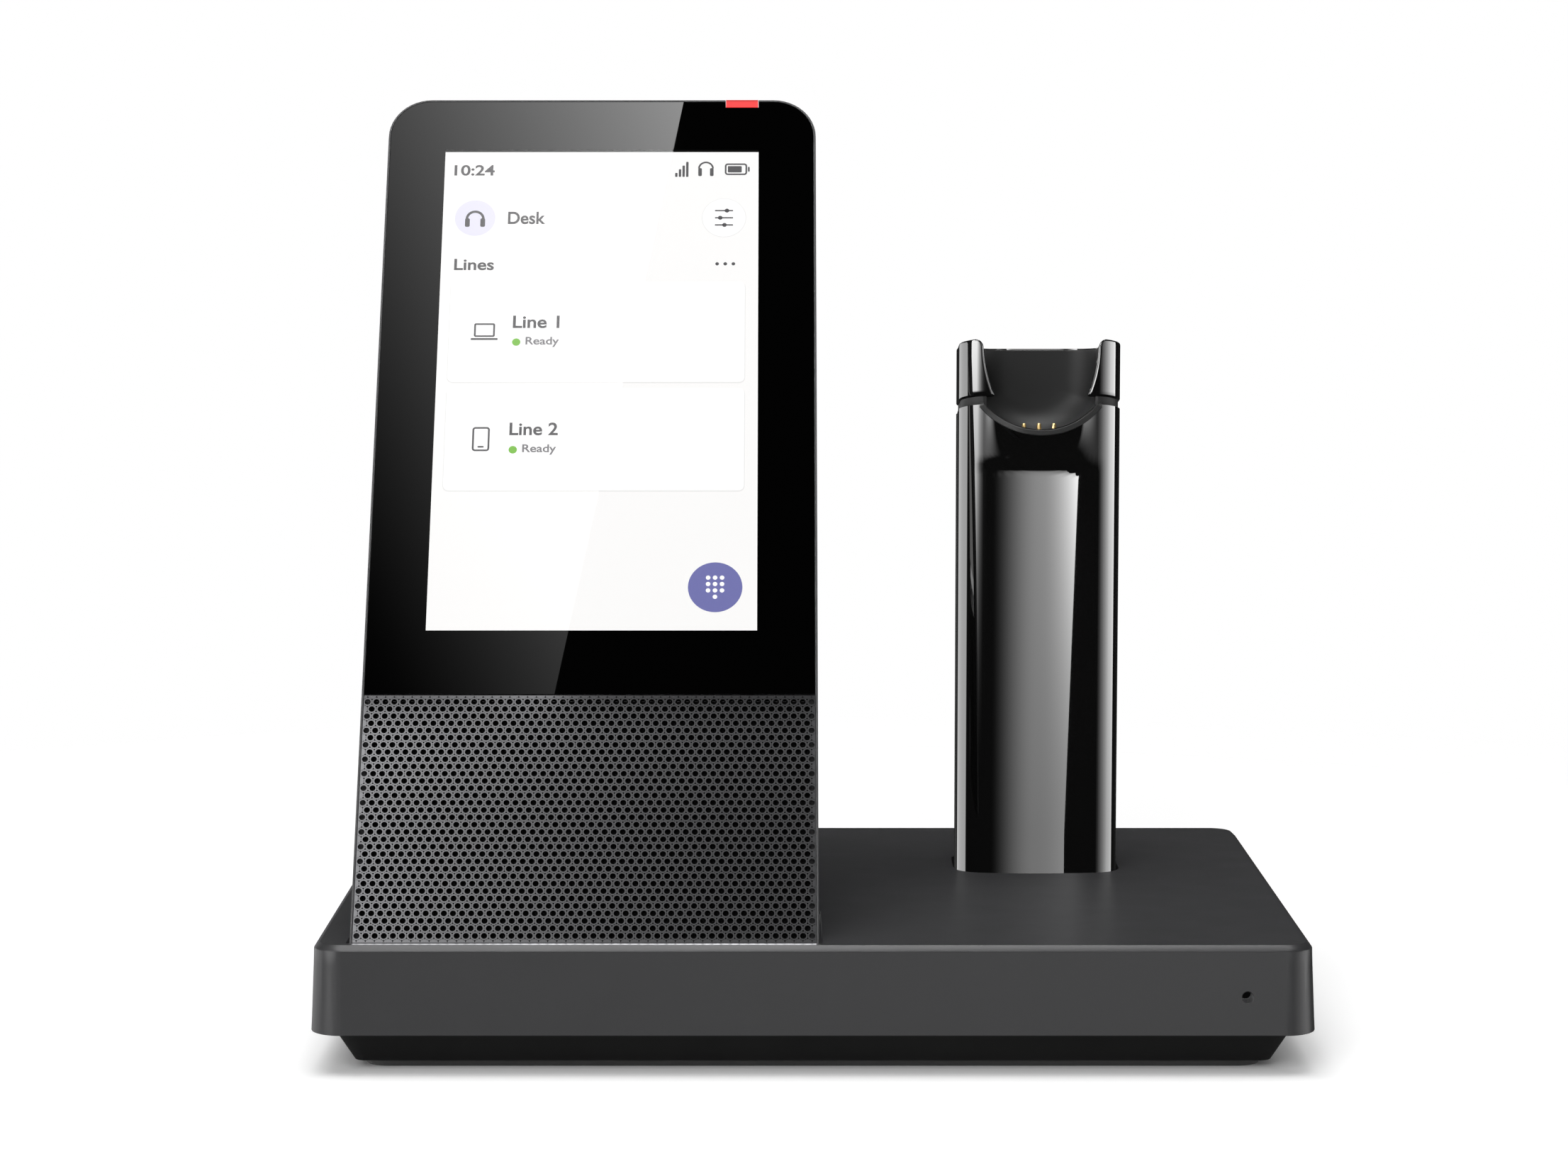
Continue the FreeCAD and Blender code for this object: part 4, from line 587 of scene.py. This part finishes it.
class DOCK_OT_page(bpy.types.Operator):
    """Draws the lit page behind the glass"""

    bl_idname = "dock.page"
    bl_label = "Lit page"

    def execute(self, context):
        sizes, colours = settings(context)
        wide, tall = sizes.page_width / MM, sizes.page_height / MM
        tint = {name: lit(f"page_{name}", getattr(colours, name), CELL, CELL_GAP).material
                for name in ("page", "card", "ink", "quiet", "accent", "badge", "ready")}
        # A darker page colour for the cards' painted drop shadows.
        tint["edge"] = lit("page_edge", darker(colours.page, 0.86), CELL, CELL_GAP).material

        ground = Page(sizes, "ground")
        margin = 0.6
        ground.plate(-margin, -margin, wide + 2 * margin, tall + 2 * margin)
        ground.finish("page_ground", tint["page"])

        # Painted drop shadows: darker plates a little larger than the cards and the round key, laid under them.
        edges = Page(sizes, "edge")
        for top in CARD_TOPS:
            edges.plate(1.62, top + 0.02, 48.2, 18.5, 1.0)
        edges.disc(*ROUND_KEY, 7.3)
        edges.finish("page_edges", tint["edge"])

        cards = Page(sizes, "card")
        for top in CARD_TOPS:
            cards.plate(1.73, top, 47.97, 18.3, 0.9)
        cards.disc(*ROUND_KEY, 7.1)
        cards.finish("page_cards", tint["card"])

        key_grid = [(row, column) for row in range(4) for column in (range(3) if row < 3 else (1,))]
        for name, layer, colour_name, discs in (
                ("page_badge", "card", "badge", [(5.24, 12.13, 6.7)]),
                ("page_button", "card", "accent", [(45.25, 78.64, 8.6)]),
                ("page_ready_dots", "ink", "ready", [(12.66, down, 1.35, 24) for down in (35.15, 54.57)]),
                ("page_keys", "ink", "card",
                 [(44.13 + column * 1.1, 77.0 + row * 1.1, 0.74, 16) for row, column in key_grid])):
            spots = Page(sizes, layer)
            for disc in discs:
                spots.disc(*disc)
            spots.finish(name, tint[colour_name])

        ink = Page(sizes, "ink")
        ink.word("10:24", 1.53, 2.1, 8.2, 4.12)
        for bar in range(4):
            ink.plate(38.08 + bar * 0.6, 3.6 - bar * 0.7, 0.4, 0.75 + bar * 0.7, 0.1)
        ink.arc(43.17, 2.75, 1.15, 0.3, 0, pi)
        for side in (41.9, 43.84):
            ink.plate(side, 2.7, 0.6, 1.5, 0.2)
        ink.plate(46.3, 1.8, 3.7, 2.2, 0.5, 0.28)
        ink.plate(46.8, 2.3, 2.3, 1.2, 0.15)
        ink.plate(50.12, 2.45, 0.3, 0.9, 0.1)
        ink.arc(5.24, 12.3, 1.35, 0.42, 0, pi)
        for side in (3.6, 6.12):
            ink.plate(side, 12.2, 0.78, 1.6, 0.25)
        ink.word("Desk", 10.66, 10.96, 16.8, 13.29)
        ink.word("Lines", 2.1, 19.79, 8.6, 21.9)
        for dot in range(3):
            ink.disc(45.15 + dot * 1.33, 20.71, 0.6, 20)
        for bar, knob in enumerate((1.7, 0.6, 1.3)):
            ink.plate(44.72, 10.62 + bar * 1.35, 3.0, 0.24, 0.1)
            ink.disc(45.0 + knob, 10.74 + bar * 1.35, 0.75, 20)
        ink.plate(5.75, 31.71, 3.4, 2.5, 0.3, 0.3)
        ink.plate(5.23, 34.42, 4.41, 0.34, 0.15)
        ink.word("Line 1", 12.03, 30.3, 19.6, 32.6)
        ink.plate(6.09, 50.52, 2.8, 4.3, 0.5, 0.3)
        ink.plate(6.99, 53.9, 1.0, 0.28, 0.12)
        ink.word("Line 2", 12.03, 49.7, 19.8, 52.0)
        ink.finish("page_ink", tint["ink"])

        quiet = Page(sizes, "ink")
        quiet.word("Ready", 14.16, 34.2, 19.6, 36.05)
        quiet.word("Ready", 14.16, 53.6, 19.6, 55.45)
        quiet.finish("page_quiet_ink", tint["quiet"])
        return {"FINISHED"}


class DOCK_OT_grille(bpy.types.Operator):
    """Punches the loudspeaker's metal sheet, every hole with an eased rim"""

    bl_idname = "dock.grille"
    bl_label = "Grille"

    def cell(self, sizes, punched):
        """One six-sided cell of the sheet, its twelve corners on the outline, with or without its hole."""
        mesh = bmesh.new()
        rim = bmesh.ops.create_circle(mesh, cap_ends=not punched, segments=12,
                                       radius=sizes.hole / 2 + sizes.hole_rim)["verts"]
        if punched:
            hole = mesh.edges[:]
            edges = hole
            narrowed = sizes.hole / (sizes.hole + 2 * sizes.hole_rim)
            for drop, share in ((sizes.hole_rim * 1.7, narrowed), (sizes.sheet * 0.8, 1.0)):
                wall = bmesh.ops.extrude_edge_only(mesh, edges=edges)["geom"]
                ring = corners(wall)
                edges = [g for g in wall if isinstance(g, bmesh.types.BMEdge)]
                bmesh.ops.scale(mesh, vec=(share, share, 1), verts=ring)
                bmesh.ops.translate(mesh, vec=(0, 0, -drop), verts=ring)
            outer = bmesh.ops.extrude_edge_only(mesh, edges=hole)["geom"]
            rim = corners(outer)
        for vert in rim:
            turn = atan2(vert.co.x, vert.co.y)
            reach = sizes.pitch / 2 / cos((turn + pi / 6) % (pi / 3) - pi / 6)
            vert.co = Vector((vert.co.x, vert.co.y, 0)).normalized() * reach
        return self.kept(mesh)

    def kept(self, mesh):
        data = bpy.data.meshes.new("stamp")
        mesh.to_mesh(data)
        mesh.free()
        return data

    def line(self, stamps, first, step):
        """Stamps side by side, a step apart."""
        mesh = bmesh.new()
        for number, stamp in enumerate(stamps):
            copy = stamp.copy()
            copy.transform(Matrix.Translation(Vector(first) + number * Vector(step)))
            mesh.from_mesh(copy)
            bpy.data.meshes.remove(copy)
        return self.kept(mesh)

    def execute(self, context):
        sizes, colours = settings(context)
        low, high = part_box("speaker_grille")
        wide = high.x - low.x
        tall = (high.z - low.z - sizes.sheet * sin(sizes.lean)) / cos(sizes.lean)
        rise = sizes.pitch * sin(pi / 3)
        punched, blank = self.cell(sizes, True), self.cell(sizes, False)
        lines = []
        for holes in (sizes.columns, sizes.columns - 1):
            first = (-(holes + 1) / 2 * sizes.pitch, 0, 0)
            for cell in (punched, blank):
                lines.append(self.line([blank] + [cell] * holes + [blank], first, (sizes.pitch, 0, 0)))
        full, full_blank, short, short_blank = lines
        rows = [full if row % 2 == 0 else short for row in range(sizes.rows)]
        rows = [short_blank] + rows + [short_blank if sizes.rows % 2 else full_blank]
        first = (0, tall / 2 - (sizes.rows + 1) / 2 * rise, 0)
        whole = self.line(rows, first, (0, rise, 0))
        sheet = bmesh.new()
        sheet.from_mesh(whole)
        for data in (punched, blank, whole, *lines):
            bpy.data.meshes.remove(data)
        bmesh.ops.remove_doubles(sheet, verts=sheet.verts, dist=0.002 * MM)
        for spot, out in (((-wide / 2, 0, 0), (-1, 0, 0)), ((wide / 2, 0, 0), (1, 0, 0)),
                          ((0, 0, 0), (0, -1, 0)), ((0, tall, 0), (0, 1, 0))):
            bmesh.ops.bisect_plane(sheet, geom=sheet.verts[:] + sheet.edges[:] + sheet.faces[:], plane_co=spot,
                                   plane_no=out, clear_outer=True)
        rim = [edge for edge in sheet.edges
               if edge.is_boundary and all(abs(v.co.z) < 0.01 * MM for v in edge.verts)]
        turned = bmesh.ops.extrude_edge_only(sheet, edges=rim)["geom"]
        bmesh.ops.translate(sheet, vec=(0, 0, -sizes.sheet), verts=corners(turned))
        bmesh.ops.recalc_face_normals(sheet, faces=sheet.faces)
        if sum(face.normal.z for face in sheet.faces) < 0:
            bmesh.ops.reverse_faces(sheet, faces=sheet.faces)
        bmesh.ops.transform(sheet, matrix=leaning_face("speaker_grille", sizes, sizes.sheet), verts=sheet.verts)
        dressed("grille_sheet", sheet, "grille_metal", colours, replaced=["speaker_grille"], crease=25)
        return {"FINISHED"}


class PostOutline:
    """The post's section from above, walked to the right round its edge from the middle of its bowed front."""

    def __init__(self, sizes):
        low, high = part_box("post_rear_shell")
        self.sizes = sizes
        self.half = (high.x - low.x) / 2
        self.middle = (high.x + low.x) / 2
        self.front = high.y - sizes.post_depth
        self.split = low.y - self.front
        corner, crown, depth = sizes.post_corner, sizes.post_crown, sizes.post_depth
        self.bow = asin((self.half - corner) / (crown - corner))
        self.corner_y = crown - sqrt((crown - corner) ** 2 - (self.half - corner) ** 2)
        runs = (crown * self.bow, corner * (pi / 2 - self.bow), depth - corner - self.corner_y,
                corner * pi / 2, self.half - corner)
        self.knots = [sum(runs[:n]) for n in range(len(runs) + 1)]
        self.round = 2 * self.knots[-1]
        self.seam = self.knots[2] + self.split - self.corner_y

    def at(self, walked):
        """Where the walk is, measured from the middle of the front."""
        walked = walked % self.round
        if walked > self.round / 2:
            mirrored = self.at(self.round - walked)
            return Vector((-mirrored.x, mirrored.y, 0))
        corner, crown, depth = self.sizes.post_corner, self.sizes.post_crown, self.sizes.post_depth
        knots = self.knots
        if walked < knots[1]:
            turn = walked / crown
            return Vector((crown * sin(turn), crown - crown * cos(turn), 0))
        if walked < knots[2]:
            turn = self.bow + (walked - knots[1]) / corner
            return Vector((self.half - corner + corner * sin(turn), self.corner_y - corner * cos(turn), 0))
        if walked < knots[3]:
            return Vector((self.half, self.corner_y + walked - knots[2], 0))
        if walked < knots[4]:
            turn = (walked - knots[3]) / corner
            return Vector((self.half - corner + corner * cos(turn), depth - corner + corner * sin(turn), 0))
        return Vector((self.half - corner - (walked - knots[4]), depth, 0))

    def walk_to(self, across):
        """The walk that reaches a place across, on the bowed front or round its corner."""
        walked = self.sizes.post_crown * asin(across / self.sizes.post_crown)
        if walked < self.knots[1]:
            return walked
        corner = self.sizes.post_corner
        return self.knots[1] + corner * (asin((across - self.half + corner) / corner) - self.bow)

    def bowed(self, across):
        """How far the front lies behind its middle at a place across."""
        return self.sizes.post_crown - sqrt(self.sizes.post_crown ** 2 - across ** 2)

    def spot(self, point, height):
        """A place of the section as a place in the row frame."""
        return Vector((self.middle + point.x, self.front + point.y, height))


def faded(value, start, end):
    """1 up to the start, 0 from the end on, and a smooth fall between them."""
    share = max(0.0, min(1.0, (value - start) / (end - start)))
    return 1 - share * share * (3 - 2 * share)


# Where the swell begins and ends to fall away from the post's middle, the same for the lip, and the lip's curve
SWELL_FALL = (5.8 * MM, 11 * MM)
LIP_FLAT = 2 * MM
LIP_POWER = 2.5


def lip_reach(sizes, across, climb, share):
    """How far the post's front stands out at a place across.

    The climb is the height above the hollow, the share how much of the way to the lip that is."""
    broad = sizes.swell * faded(abs(across), *SWELL_FALL) * (1 - faded(climb, 0, sizes.swell_step))
    beak = faded(abs(across), LIP_FLAT, sizes.cup_width / 2) * share ** LIP_POWER
    return broad + (sizes.lip_reach - sizes.swell) * beak


def dip(sizes, depth):
    """How far the groove and the brim have fallen at a depth behind the post's front."""
    bend = (tan(sizes.slope) - tan(sizes.slope_end)) / (2 * sizes.post_depth)
    return depth * tan(sizes.slope) - bend * depth * depth


def head_levels(sizes):
    """Heights at the post's front: the cup's floor, the groove's lower edge, the ears' foot and the brim."""
    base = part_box("base_top_cover")[1].z
    _, yoke_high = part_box("cradle_yoke")
    brim = yoke_high.z
    foot = brim - sizes.ears
    return base + sizes.cup_floor, foot - sizes.groove, foot, brim


class DOCK_OT_post(bpy.types.Operator):
    """Moulds the post's two polished shells, the front one with the hollow chin under the lip"""

    bl_idname = "dock.post"
    bl_label = "Post shells"

    def execute(self, context):
        sizes, colours = settings(context)
        outline = PostOutline(sizes)
        floor, groove, _, _ = head_levels(sizes)
        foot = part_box("post_front_shell")[0].z
        half = sizes.cup_width / 2 + 0.25 * MM
        drop = sizes.lip - sizes.lip_rise
        sag = sizes.cup_sag + drop
        radius = (half ** 2 + sag ** 2) / (2 * sag)
        centre = floor - drop + radius
        hollow = floor - drop - sizes.chin
        edge = outline.walk_to(half)
        arch = 0.7  # share of the columns that lie under the lip

        def front(u, v):
            side = abs(2 * u - 1)
            under_lip = side < arch
            if under_lip:
                walked = outline.walk_to(half * sin(side / arch * pi / 2))
            else:
                walked = between(edge + 0.02 * MM, outline.seam, (side - arch) / (1 - arch))
            point = outline.at(walked if u > 0.5 else -walked)
            top = centre - sqrt(radius ** 2 - point.x ** 2) if under_lip else groove - dip(sizes, point.y)
            height = between(foot, top, 1 - (1 - v) ** 1.8)
            if height > hollow:
                point.y -= 0.9 * lip_reach(sizes, point.x, height - hollow, (height - hollow) / (top - hollow))
            return outline.spot(point, height)

        def rear(u, v):
            point = outline.at(between(outline.seam, outline.round - outline.seam, u))
            return outline.spot(point, between(foot, groove - dip(sizes, point.y), v))

        for name, columns, rows, placed in (("post_front_shell", 160, 70, front),
                                            ("post_rear_shell", 96, 12, rear)):
            dressed(f"{name}_polished", mapped_sheet(columns, rows, placed), "post_gloss", colours,
                    replaced=[name], crease=40, layers=[walled(sizes.post_wall), eased(0.18 * MM)])
        return {"FINISHED"}


class DOCK_OT_cradle(bpy.types.Operator):
    """Forms the satin cup with its lip and the polished yoke whose ears stand over it"""

    bl_idname = "dock.cradle"
    bl_label = "Cradle"

    def cup(self, sizes, outline):
        floor, _, _, brim = head_levels(sizes)
        half = sizes.cup_width / 2
        radius = (half ** 2 + sizes.cup_sag ** 2) / (2 * sizes.cup_sag)
        centre = floor + radius
        shoulder = floor + sizes.cup_sag
        blend = sizes.cup_blend
        steps = [("run", share / 10) for share in range(11)]
        steps += [("blend", share / 8 * pi / 2) for share in range(1, 9)]
        steps += [("back", share / 8) for share in range(1, 9)]

        def placed(u, v):
            kind, share = steps[round(v * (len(steps) - 1))]
            inset = {"run": 0, "blend": blend * (1 - cos(share)), "back": between(blend, half, share)}[kind]
            depth = {"run": None, "blend": sizes.cup_depth - blend + blend * sin(share),
                     "back": sizes.cup_depth}[kind]
            reach = max(half - inset, 0.0)
            bowl = radius - inset
            spread = asin(min(1.0, reach / bowl))
            side = 2 * u - 1
            across = max(-1.0, min(1.0, side / 0.5))
            x = bowl * sin(across * spread)
            z = centre - bowl * cos(across * spread)
            climb = max(0.0, (abs(side) - 0.5) / 0.5)
            if kind == "run":
                ramp = min(1.0, climb * (brim - shoulder) / (1.5 * MM))
                nose = between(outline.bowed(x) - lip_reach(sizes, x, sizes.chin, 1), sizes.mouth_depth, ramp)
                depth = between(nose, sizes.cup_depth - blend, share)
                near = max(0.0, 1 - share / 0.5)
                z += sizes.lip_rise * near * near * (3 - 2 * near) * (1 - across ** 2)
            x *= 1 + sizes.cup_flare / half * climb
            z = between(z, brim - 0.25 * MM - dip(sizes, depth), climb)
            return outline.spot(Vector((x, depth, 0)), z)

        mesh = mapped_sheet(96, len(steps) - 1, placed)
        bmesh.ops.remove_doubles(mesh, verts=mesh.verts, dist=0.001 * MM)
        return mesh

    def yoke(self, sizes, outline):
        _, _, foot, _ = head_levels(sizes)
        skin = 0.95 * MM
        edge, roll = sizes.ear_edge, sizes.ear_roll
        inner_half = sizes.cup_width / 2 + skin
        inner_back = sizes.cup_depth + skin
        inner_corner = sizes.cup_blend + skin
        inner_run = inner_back - inner_corner - sizes.mouth_depth
        steps = [("inner", 0.0)]
        steps += [("foot", share / 4 * pi / 2) for share in range(4, 0, -1)]
        steps += [("wall", share / 14) for share in range(13)]
        steps += [("wall", share) for share in (0.9, 0.94, 0.97, 1)]
        steps += [("edge", share / 4 * pi / 2) for share in range(1, 5)]
        steps += [("inner", 1.0), ("inner", 0.0)]
        columns = 140
        lead = 4 / columns
        shares = (0.36, 0.44)  # where along the walk the back corner begins and ends

        @mirrored
        def inner(u):
            if u < shares[0]:
                return Vector((inner_half, sizes.mouth_depth + inner_run * u / shares[0], 0))
            if u < shares[1]:
                turn = (u - shares[0]) / (shares[1] - shares[0]) * pi / 2
                return Vector((inner_half - inner_corner + inner_corner * cos(turn),
                               inner_back - inner_corner + inner_corner * sin(turn), 0))
            share = (u - shares[1]) / (0.5 - shares[1])
            return Vector(((inner_half - inner_corner) * (1 - share), inner_back, 0))

        @mirrored
        def outer(u, drop):
            mouth = sizes.mouth / 2 - (sizes.mouth_curve - sqrt(sizes.mouth_curve ** 2 - drop ** 2))
            short = max(0.0, sizes.ear_corner - drop)
            mouth += sizes.ear_corner - sqrt(sizes.ear_corner ** 2 - short ** 2)
            start = outline.walk_to(mouth)
            if u < lead:
                turn = (1 - u / lead) * pi / 2
                point = outline.at(start + roll * (1 - sin(turn)))
                point.y += roll * (1 - cos(turn))
            else:
                knots = (start + roll, outline.knots[3], outline.knots[4], outline.knots[5])
                places = (lead, shares[0], shares[1], 0.5)
                leg = next(n for n in range(3) if u <= places[n + 1])
                share = (u - places[leg]) / (places[leg + 1] - places[leg])
                point = outline.at(between(knots[leg], knots[leg + 1], share))
            return point

        def placed(u, v):
            kind, share = steps[round(v * (len(steps) - 1))]
            rise = {"inner": share * sizes.ears, "foot": edge * (1 - sin(share)),
                    "wall": between(edge, sizes.ears - edge, share),
                    "edge": sizes.ears - edge + edge * sin(share)}[kind]
            outside = outer(u, sizes.ears - rise)
            inside = inner(u)
            point = outside
            if kind == "inner":
                point = inside
            elif kind != "wall":
                point = outside + (inside - outside).normalized() * edge * (1 - cos(share))
            return outline.spot(point, foot + rise - dip(sizes, point.y))

        mesh = mapped_sheet(columns, len(steps) - 1, placed)
        bmesh.ops.remove_doubles(mesh, verts=mesh.verts, dist=0.001 * MM)
        bmesh.ops.holes_fill(mesh, edges=[edge for edge in mesh.edges if edge.is_boundary], sides=0)
        bmesh.ops.recalc_face_normals(mesh, faces=mesh.faces)
        return mesh

    def neck(self, sizes, outline):
        """The set-back wall that joins cup and post inside the groove."""
        _, groove, foot, _ = head_levels(sizes)
        start = outline.walk_to(sizes.cup_width / 2)
        middle = Vector((0, sizes.post_depth / 2, 0))

        def placed(u, v):
            point = outline.at(between(start, outline.round - start, u))
            point = middle + (point - middle) * (1 - sizes.groove_depth / outline.half)
            return outline.spot(point, between(groove - 3 * MM, foot + 3 * MM, v) - dip(sizes, point.y))

        return mapped_sheet(96, 1, placed)

    def execute(self, context):
        sizes, colours = settings(context)
        outline = PostOutline(sizes)
        dressed("cup_neck", self.neck(sizes, outline), "cradle_satin", colours, crease=40,
                layers=[walled(sizes.lip)])
        dressed("cup_lining", self.cup(sizes, outline), "cradle_satin", colours, replaced=["cradle_cup"],
                crease=40, layers=[walled(sizes.lip), eased(0.2 * MM)])
        dressed("yoke_ears", self.yoke(sizes, outline), "post_gloss", colours, replaced=["cradle_yoke"], crease=35)
        return {"FINISHED"}


class DOCK_OT_contacts(bpy.types.Operator):
    """Makes the three plated contacts and the coil springs under them"""

    bl_idname = "dock.contacts"
    bl_label = "Contacts"

    def spring(self, side, sizes, colours):
        """The coil under a contact, which stands on its lower end."""
        node = f"contact_spring_{side}"
        coil = dressed(f"{node}_coil", merged_copy(node), "spring_steel", colours, replaced=[node], crease=35)
        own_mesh(coil)

    def execute(self, context):
        sizes, colours = settings(context)
        for side in ("left", "centre", "right"):
            node = f"contact_pin_{side}"
            dressed(f"{node}_plated", merged_copy(node), "contact_gold", colours, body=f"pin_{side}",
                    replaced=[node], crease=35)
            self.spring(side, sizes, colours)
        return {"FINISHED"}


# The camera of the photo: focal length and sensor in millimetres, place in metres, tilt below level in degrees
LENS, SENSOR = 87.13, 36.0
CAMERA_SPOT = (-0.0044, -0.61495, 0.13378)
CAMERA_DOWN = 6.06


class DOCK_OT_stage(bpy.types.Operator):
    """Sets the camera, the pale floor and the soft studio light"""

    bl_idname = "dock.stage"
    bl_label = "Stage"

    def reflected(self, sky):
        """The studio as polished surfaces see it, by direction: turn is the bearing from the camera's side,
        positive to the right, climb the height over the horizon, both in degrees."""
        across, back, rise = sky.node("ShaderNodeTexCoord", {}, {}, "Generated").split()
        ahead = back * -1
        turn = across.math("ARCTAN2", ahead) * (180 / pi)
        climb = rise.math("ARCTAN2", (across * across + back * back) ** 0.5) * (180 / pi)
        high = (climb + 9.75).clipped(0, 6)

        share = (turn + 12) / (high * 0.713 + 24.5)
        soft = (share / 0.6).clipped()
        steep = ((share - 0.55) / 0.45).clipped()
        front = soft * soft * (3 - soft * 2) * (high * 0.2 + 1.9) + steep * steep * (high * high * 0.25 + 0.8)
        front = front * (share < 1)
        fade = ((climb + 9) / 5.2).clipped(0, 1.3)
        strip = (((turn + 13.5) / -28).clipped() ** 1.6) * (turn > -66) * fade * fade * 6
        left_box = ((turn + 84) / -4).clipped() * (turn > -157) * (((turn + 155) / 67).clipped() * 2.4 + 1)
        right_box = (((turn - 26) / 52).clipped() ** 1.3) * (turn < 106) * (high * 0.4 + 3.6)
        round_about = (front + strip + left_box + right_box) * ((climb + 14.5) / 3.5).clipped()
        round_about = round_about * (1 - ((climb - 4) / 16).clipped())

        tilt = rise.math("ARCTAN2", ahead) * (180 / pi)
        side = across / ((back * back + rise * rise) ** 0.5)
        under = 61.3 - tilt
        tone = ((side * 897 - under * 7.04 + 164.3) / 255).clipped()
        panel = (side < (under * -0.00385 - 0.026)) * (tone ** 2.2) * 25 * (tilt > 52.2) * (tilt < 78)
        glow = (side * side * 30 - side * 0.37 + 0.1) * (side < 0.05)
        glow = glow * (((tilt - 50.4) / 1.8).clipped() * 0.5 + 1) * (tilt > 40) * (tilt < 52.2)
        roof = (abs(tilt - 90) < 12) * (abs(side) < 0.3) * 14
        overhead = (panel + glow + roof) * (climb > 22)
        return round_about + overhead + 0.02

    def world(self, scene):
        """White behind the dock, an even light on it, and the studio in its polish."""
        scene.world = bpy.data.worlds.new("studio")
        scene.world.use_nodes = True
        sky = Graph(scene.world.node_tree)
        camera, glossy, through = [sky.node("ShaderNodeLightPath", {}, {}, f"Is {kind} Ray")
                                   for kind in ("Camera", "Glossy", "Transmission")]
        polish = glossy.math("MAXIMUM", through)
        level = polish * self.reflected(sky) + (1 - polish) * 0.35
        ground = sky.tree.nodes["Background"]
        sky.join(ground.inputs["Color"], (1, 1, 1, 1))
        sky.join(ground.inputs["Strength"], camera + (1 - camera) * level)

    def floor(self, scene):
        mesh = bmesh.new()
        bmesh.ops.create_circle(mesh, cap_ends=True, segments=64, radius=0.5)
        data = bpy.data.meshes.new("floor")
        mesh.to_mesh(data)
        mesh.free()
        finish = Finish("floor", Base_Color=(0.86, 0.86, 0.86, 1), Roughness=0.9, Specular_IOR_Level=0.0)
        seen = finish.node("ShaderNodeLightPath", {}, {}, "Is Camera Ray")
        finish.set("Emission Strength", 0.3)
        # The glow that whitens the floor for the camera is taken away next to the foot pad and comes back over 12
        # mm: a painted shadow round the base, on top of the real shadow the lamps cast.
        across, back, _ = finish.axes()
        _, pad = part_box("rubber_base_pad")
        clear_of = (abs(across) - pad.x).math("MAXIMUM", abs(back) - pad.y)
        glow_past_painted_shadow = seen * (clear_of / (12 * MM)).clipped()
        finish.set("Emission Color", finish.tint(glow_past_painted_shadow, (0, 0, 0, 1), (1, 1, 1, 1)))
        away = finish.node("ShaderNodeVectorMath", {"operation": "LENGTH"}, {0: finish.place()}, "Value")
        clear = finish.node("ShaderNodeBsdfTransparent", {}, {})
        inputs = {0: ((away - 0.14) / 0.2).clipped(), 1: Wire(finish, finish.shader.outputs[0]), 2: clear}
        surface = finish.node("ShaderNodeMixShader", {}, inputs)
        finish.tree.links.new(surface.socket, finish.output.inputs["Surface"])
        data.materials.append(finish.material)
        floor = bpy.data.objects.new("floor", data)
        floor.visible_glossy = False
        scene.collection.objects.link(floor)

    def lamp(self, scene, name, spot, target, size, power):
        light = bpy.data.lights.new(name, "AREA")
        light.size = size
        light.energy = power
        lamp = bpy.data.objects.new(name, light)
        lamp.location = spot
        lamp.rotation_euler = (Vector(target) - Vector(spot)).to_track_quat("-Z", "Y").to_euler()
        lamp.visible_camera = False
        lamp.visible_glossy = False
        lamp.visible_transmission = False
        scene.collection.objects.link(lamp)

    def execute(self, context):
        scene = context.scene
        scene.view_settings.view_transform = "Standard"
        data = bpy.data.cameras.new("camera")
        data.lens = LENS
        data.sensor_width = SENSOR
        camera = bpy.data.objects.new("camera", data)
        camera.location = CAMERA_SPOT
        camera.rotation_euler = (radians(90 - CAMERA_DOWN), 0, 0)
        scene.collection.objects.link(camera)
        scene.camera = camera
        self.world(scene)
        self.floor(scene)

        self.lamp(scene, "soft_top", (-0.1, -0.1, 1.1), (0, 0, 0.05), 0.9, 7)
        self.lamp(scene, "soft_front", (-0.5, -1.2, 0.7), (0, 0, 0.06), 0.8, 10)
        return {"FINISHED"}


class DOCK_PT_panel(bpy.types.Panel):
    """Lists the steps that dress the dock"""

    bl_idname = "DOCK_PT_panel"
    bl_label = "Headset dock"
    bl_space_type = "VIEW_3D"
    bl_region_type = "UI"
    bl_category = "Dock"

    def draw(self, context):
        for step in STEPS:
            self.layout.operator(step.bl_idname)
        for group in settings(context):
            box = self.layout.box()
            for name in group.__annotations__:
                box.prop(group, name)


STEPS = (DOCK_OT_finishes, DOCK_OT_mouldings, DOCK_OT_page, DOCK_OT_grille, DOCK_OT_post, DOCK_OT_cradle,
         DOCK_OT_contacts, DOCK_OT_stage)
CLASSES = (DockSizes, DockColours, *STEPS, DOCK_PT_panel)


def register():
    for made in CLASSES:
        bpy.utils.register_class(made)
    bpy.types.Scene.dock_sizes = bpy.props.PointerProperty(type=DockSizes)
    bpy.types.Scene.dock_colours = bpy.props.PointerProperty(type=DockColours)


def unregister():
    del bpy.types.Scene.dock_colours
    del bpy.types.Scene.dock_sizes
    for made in reversed(CLASSES):
        bpy.utils.unregister_class(made)


def main():
    register()
    for step in STEPS:
        group, name = step.bl_idname.split(".")
        getattr(getattr(bpy.ops, group), name)()


if __name__ == "__main__":
    main()
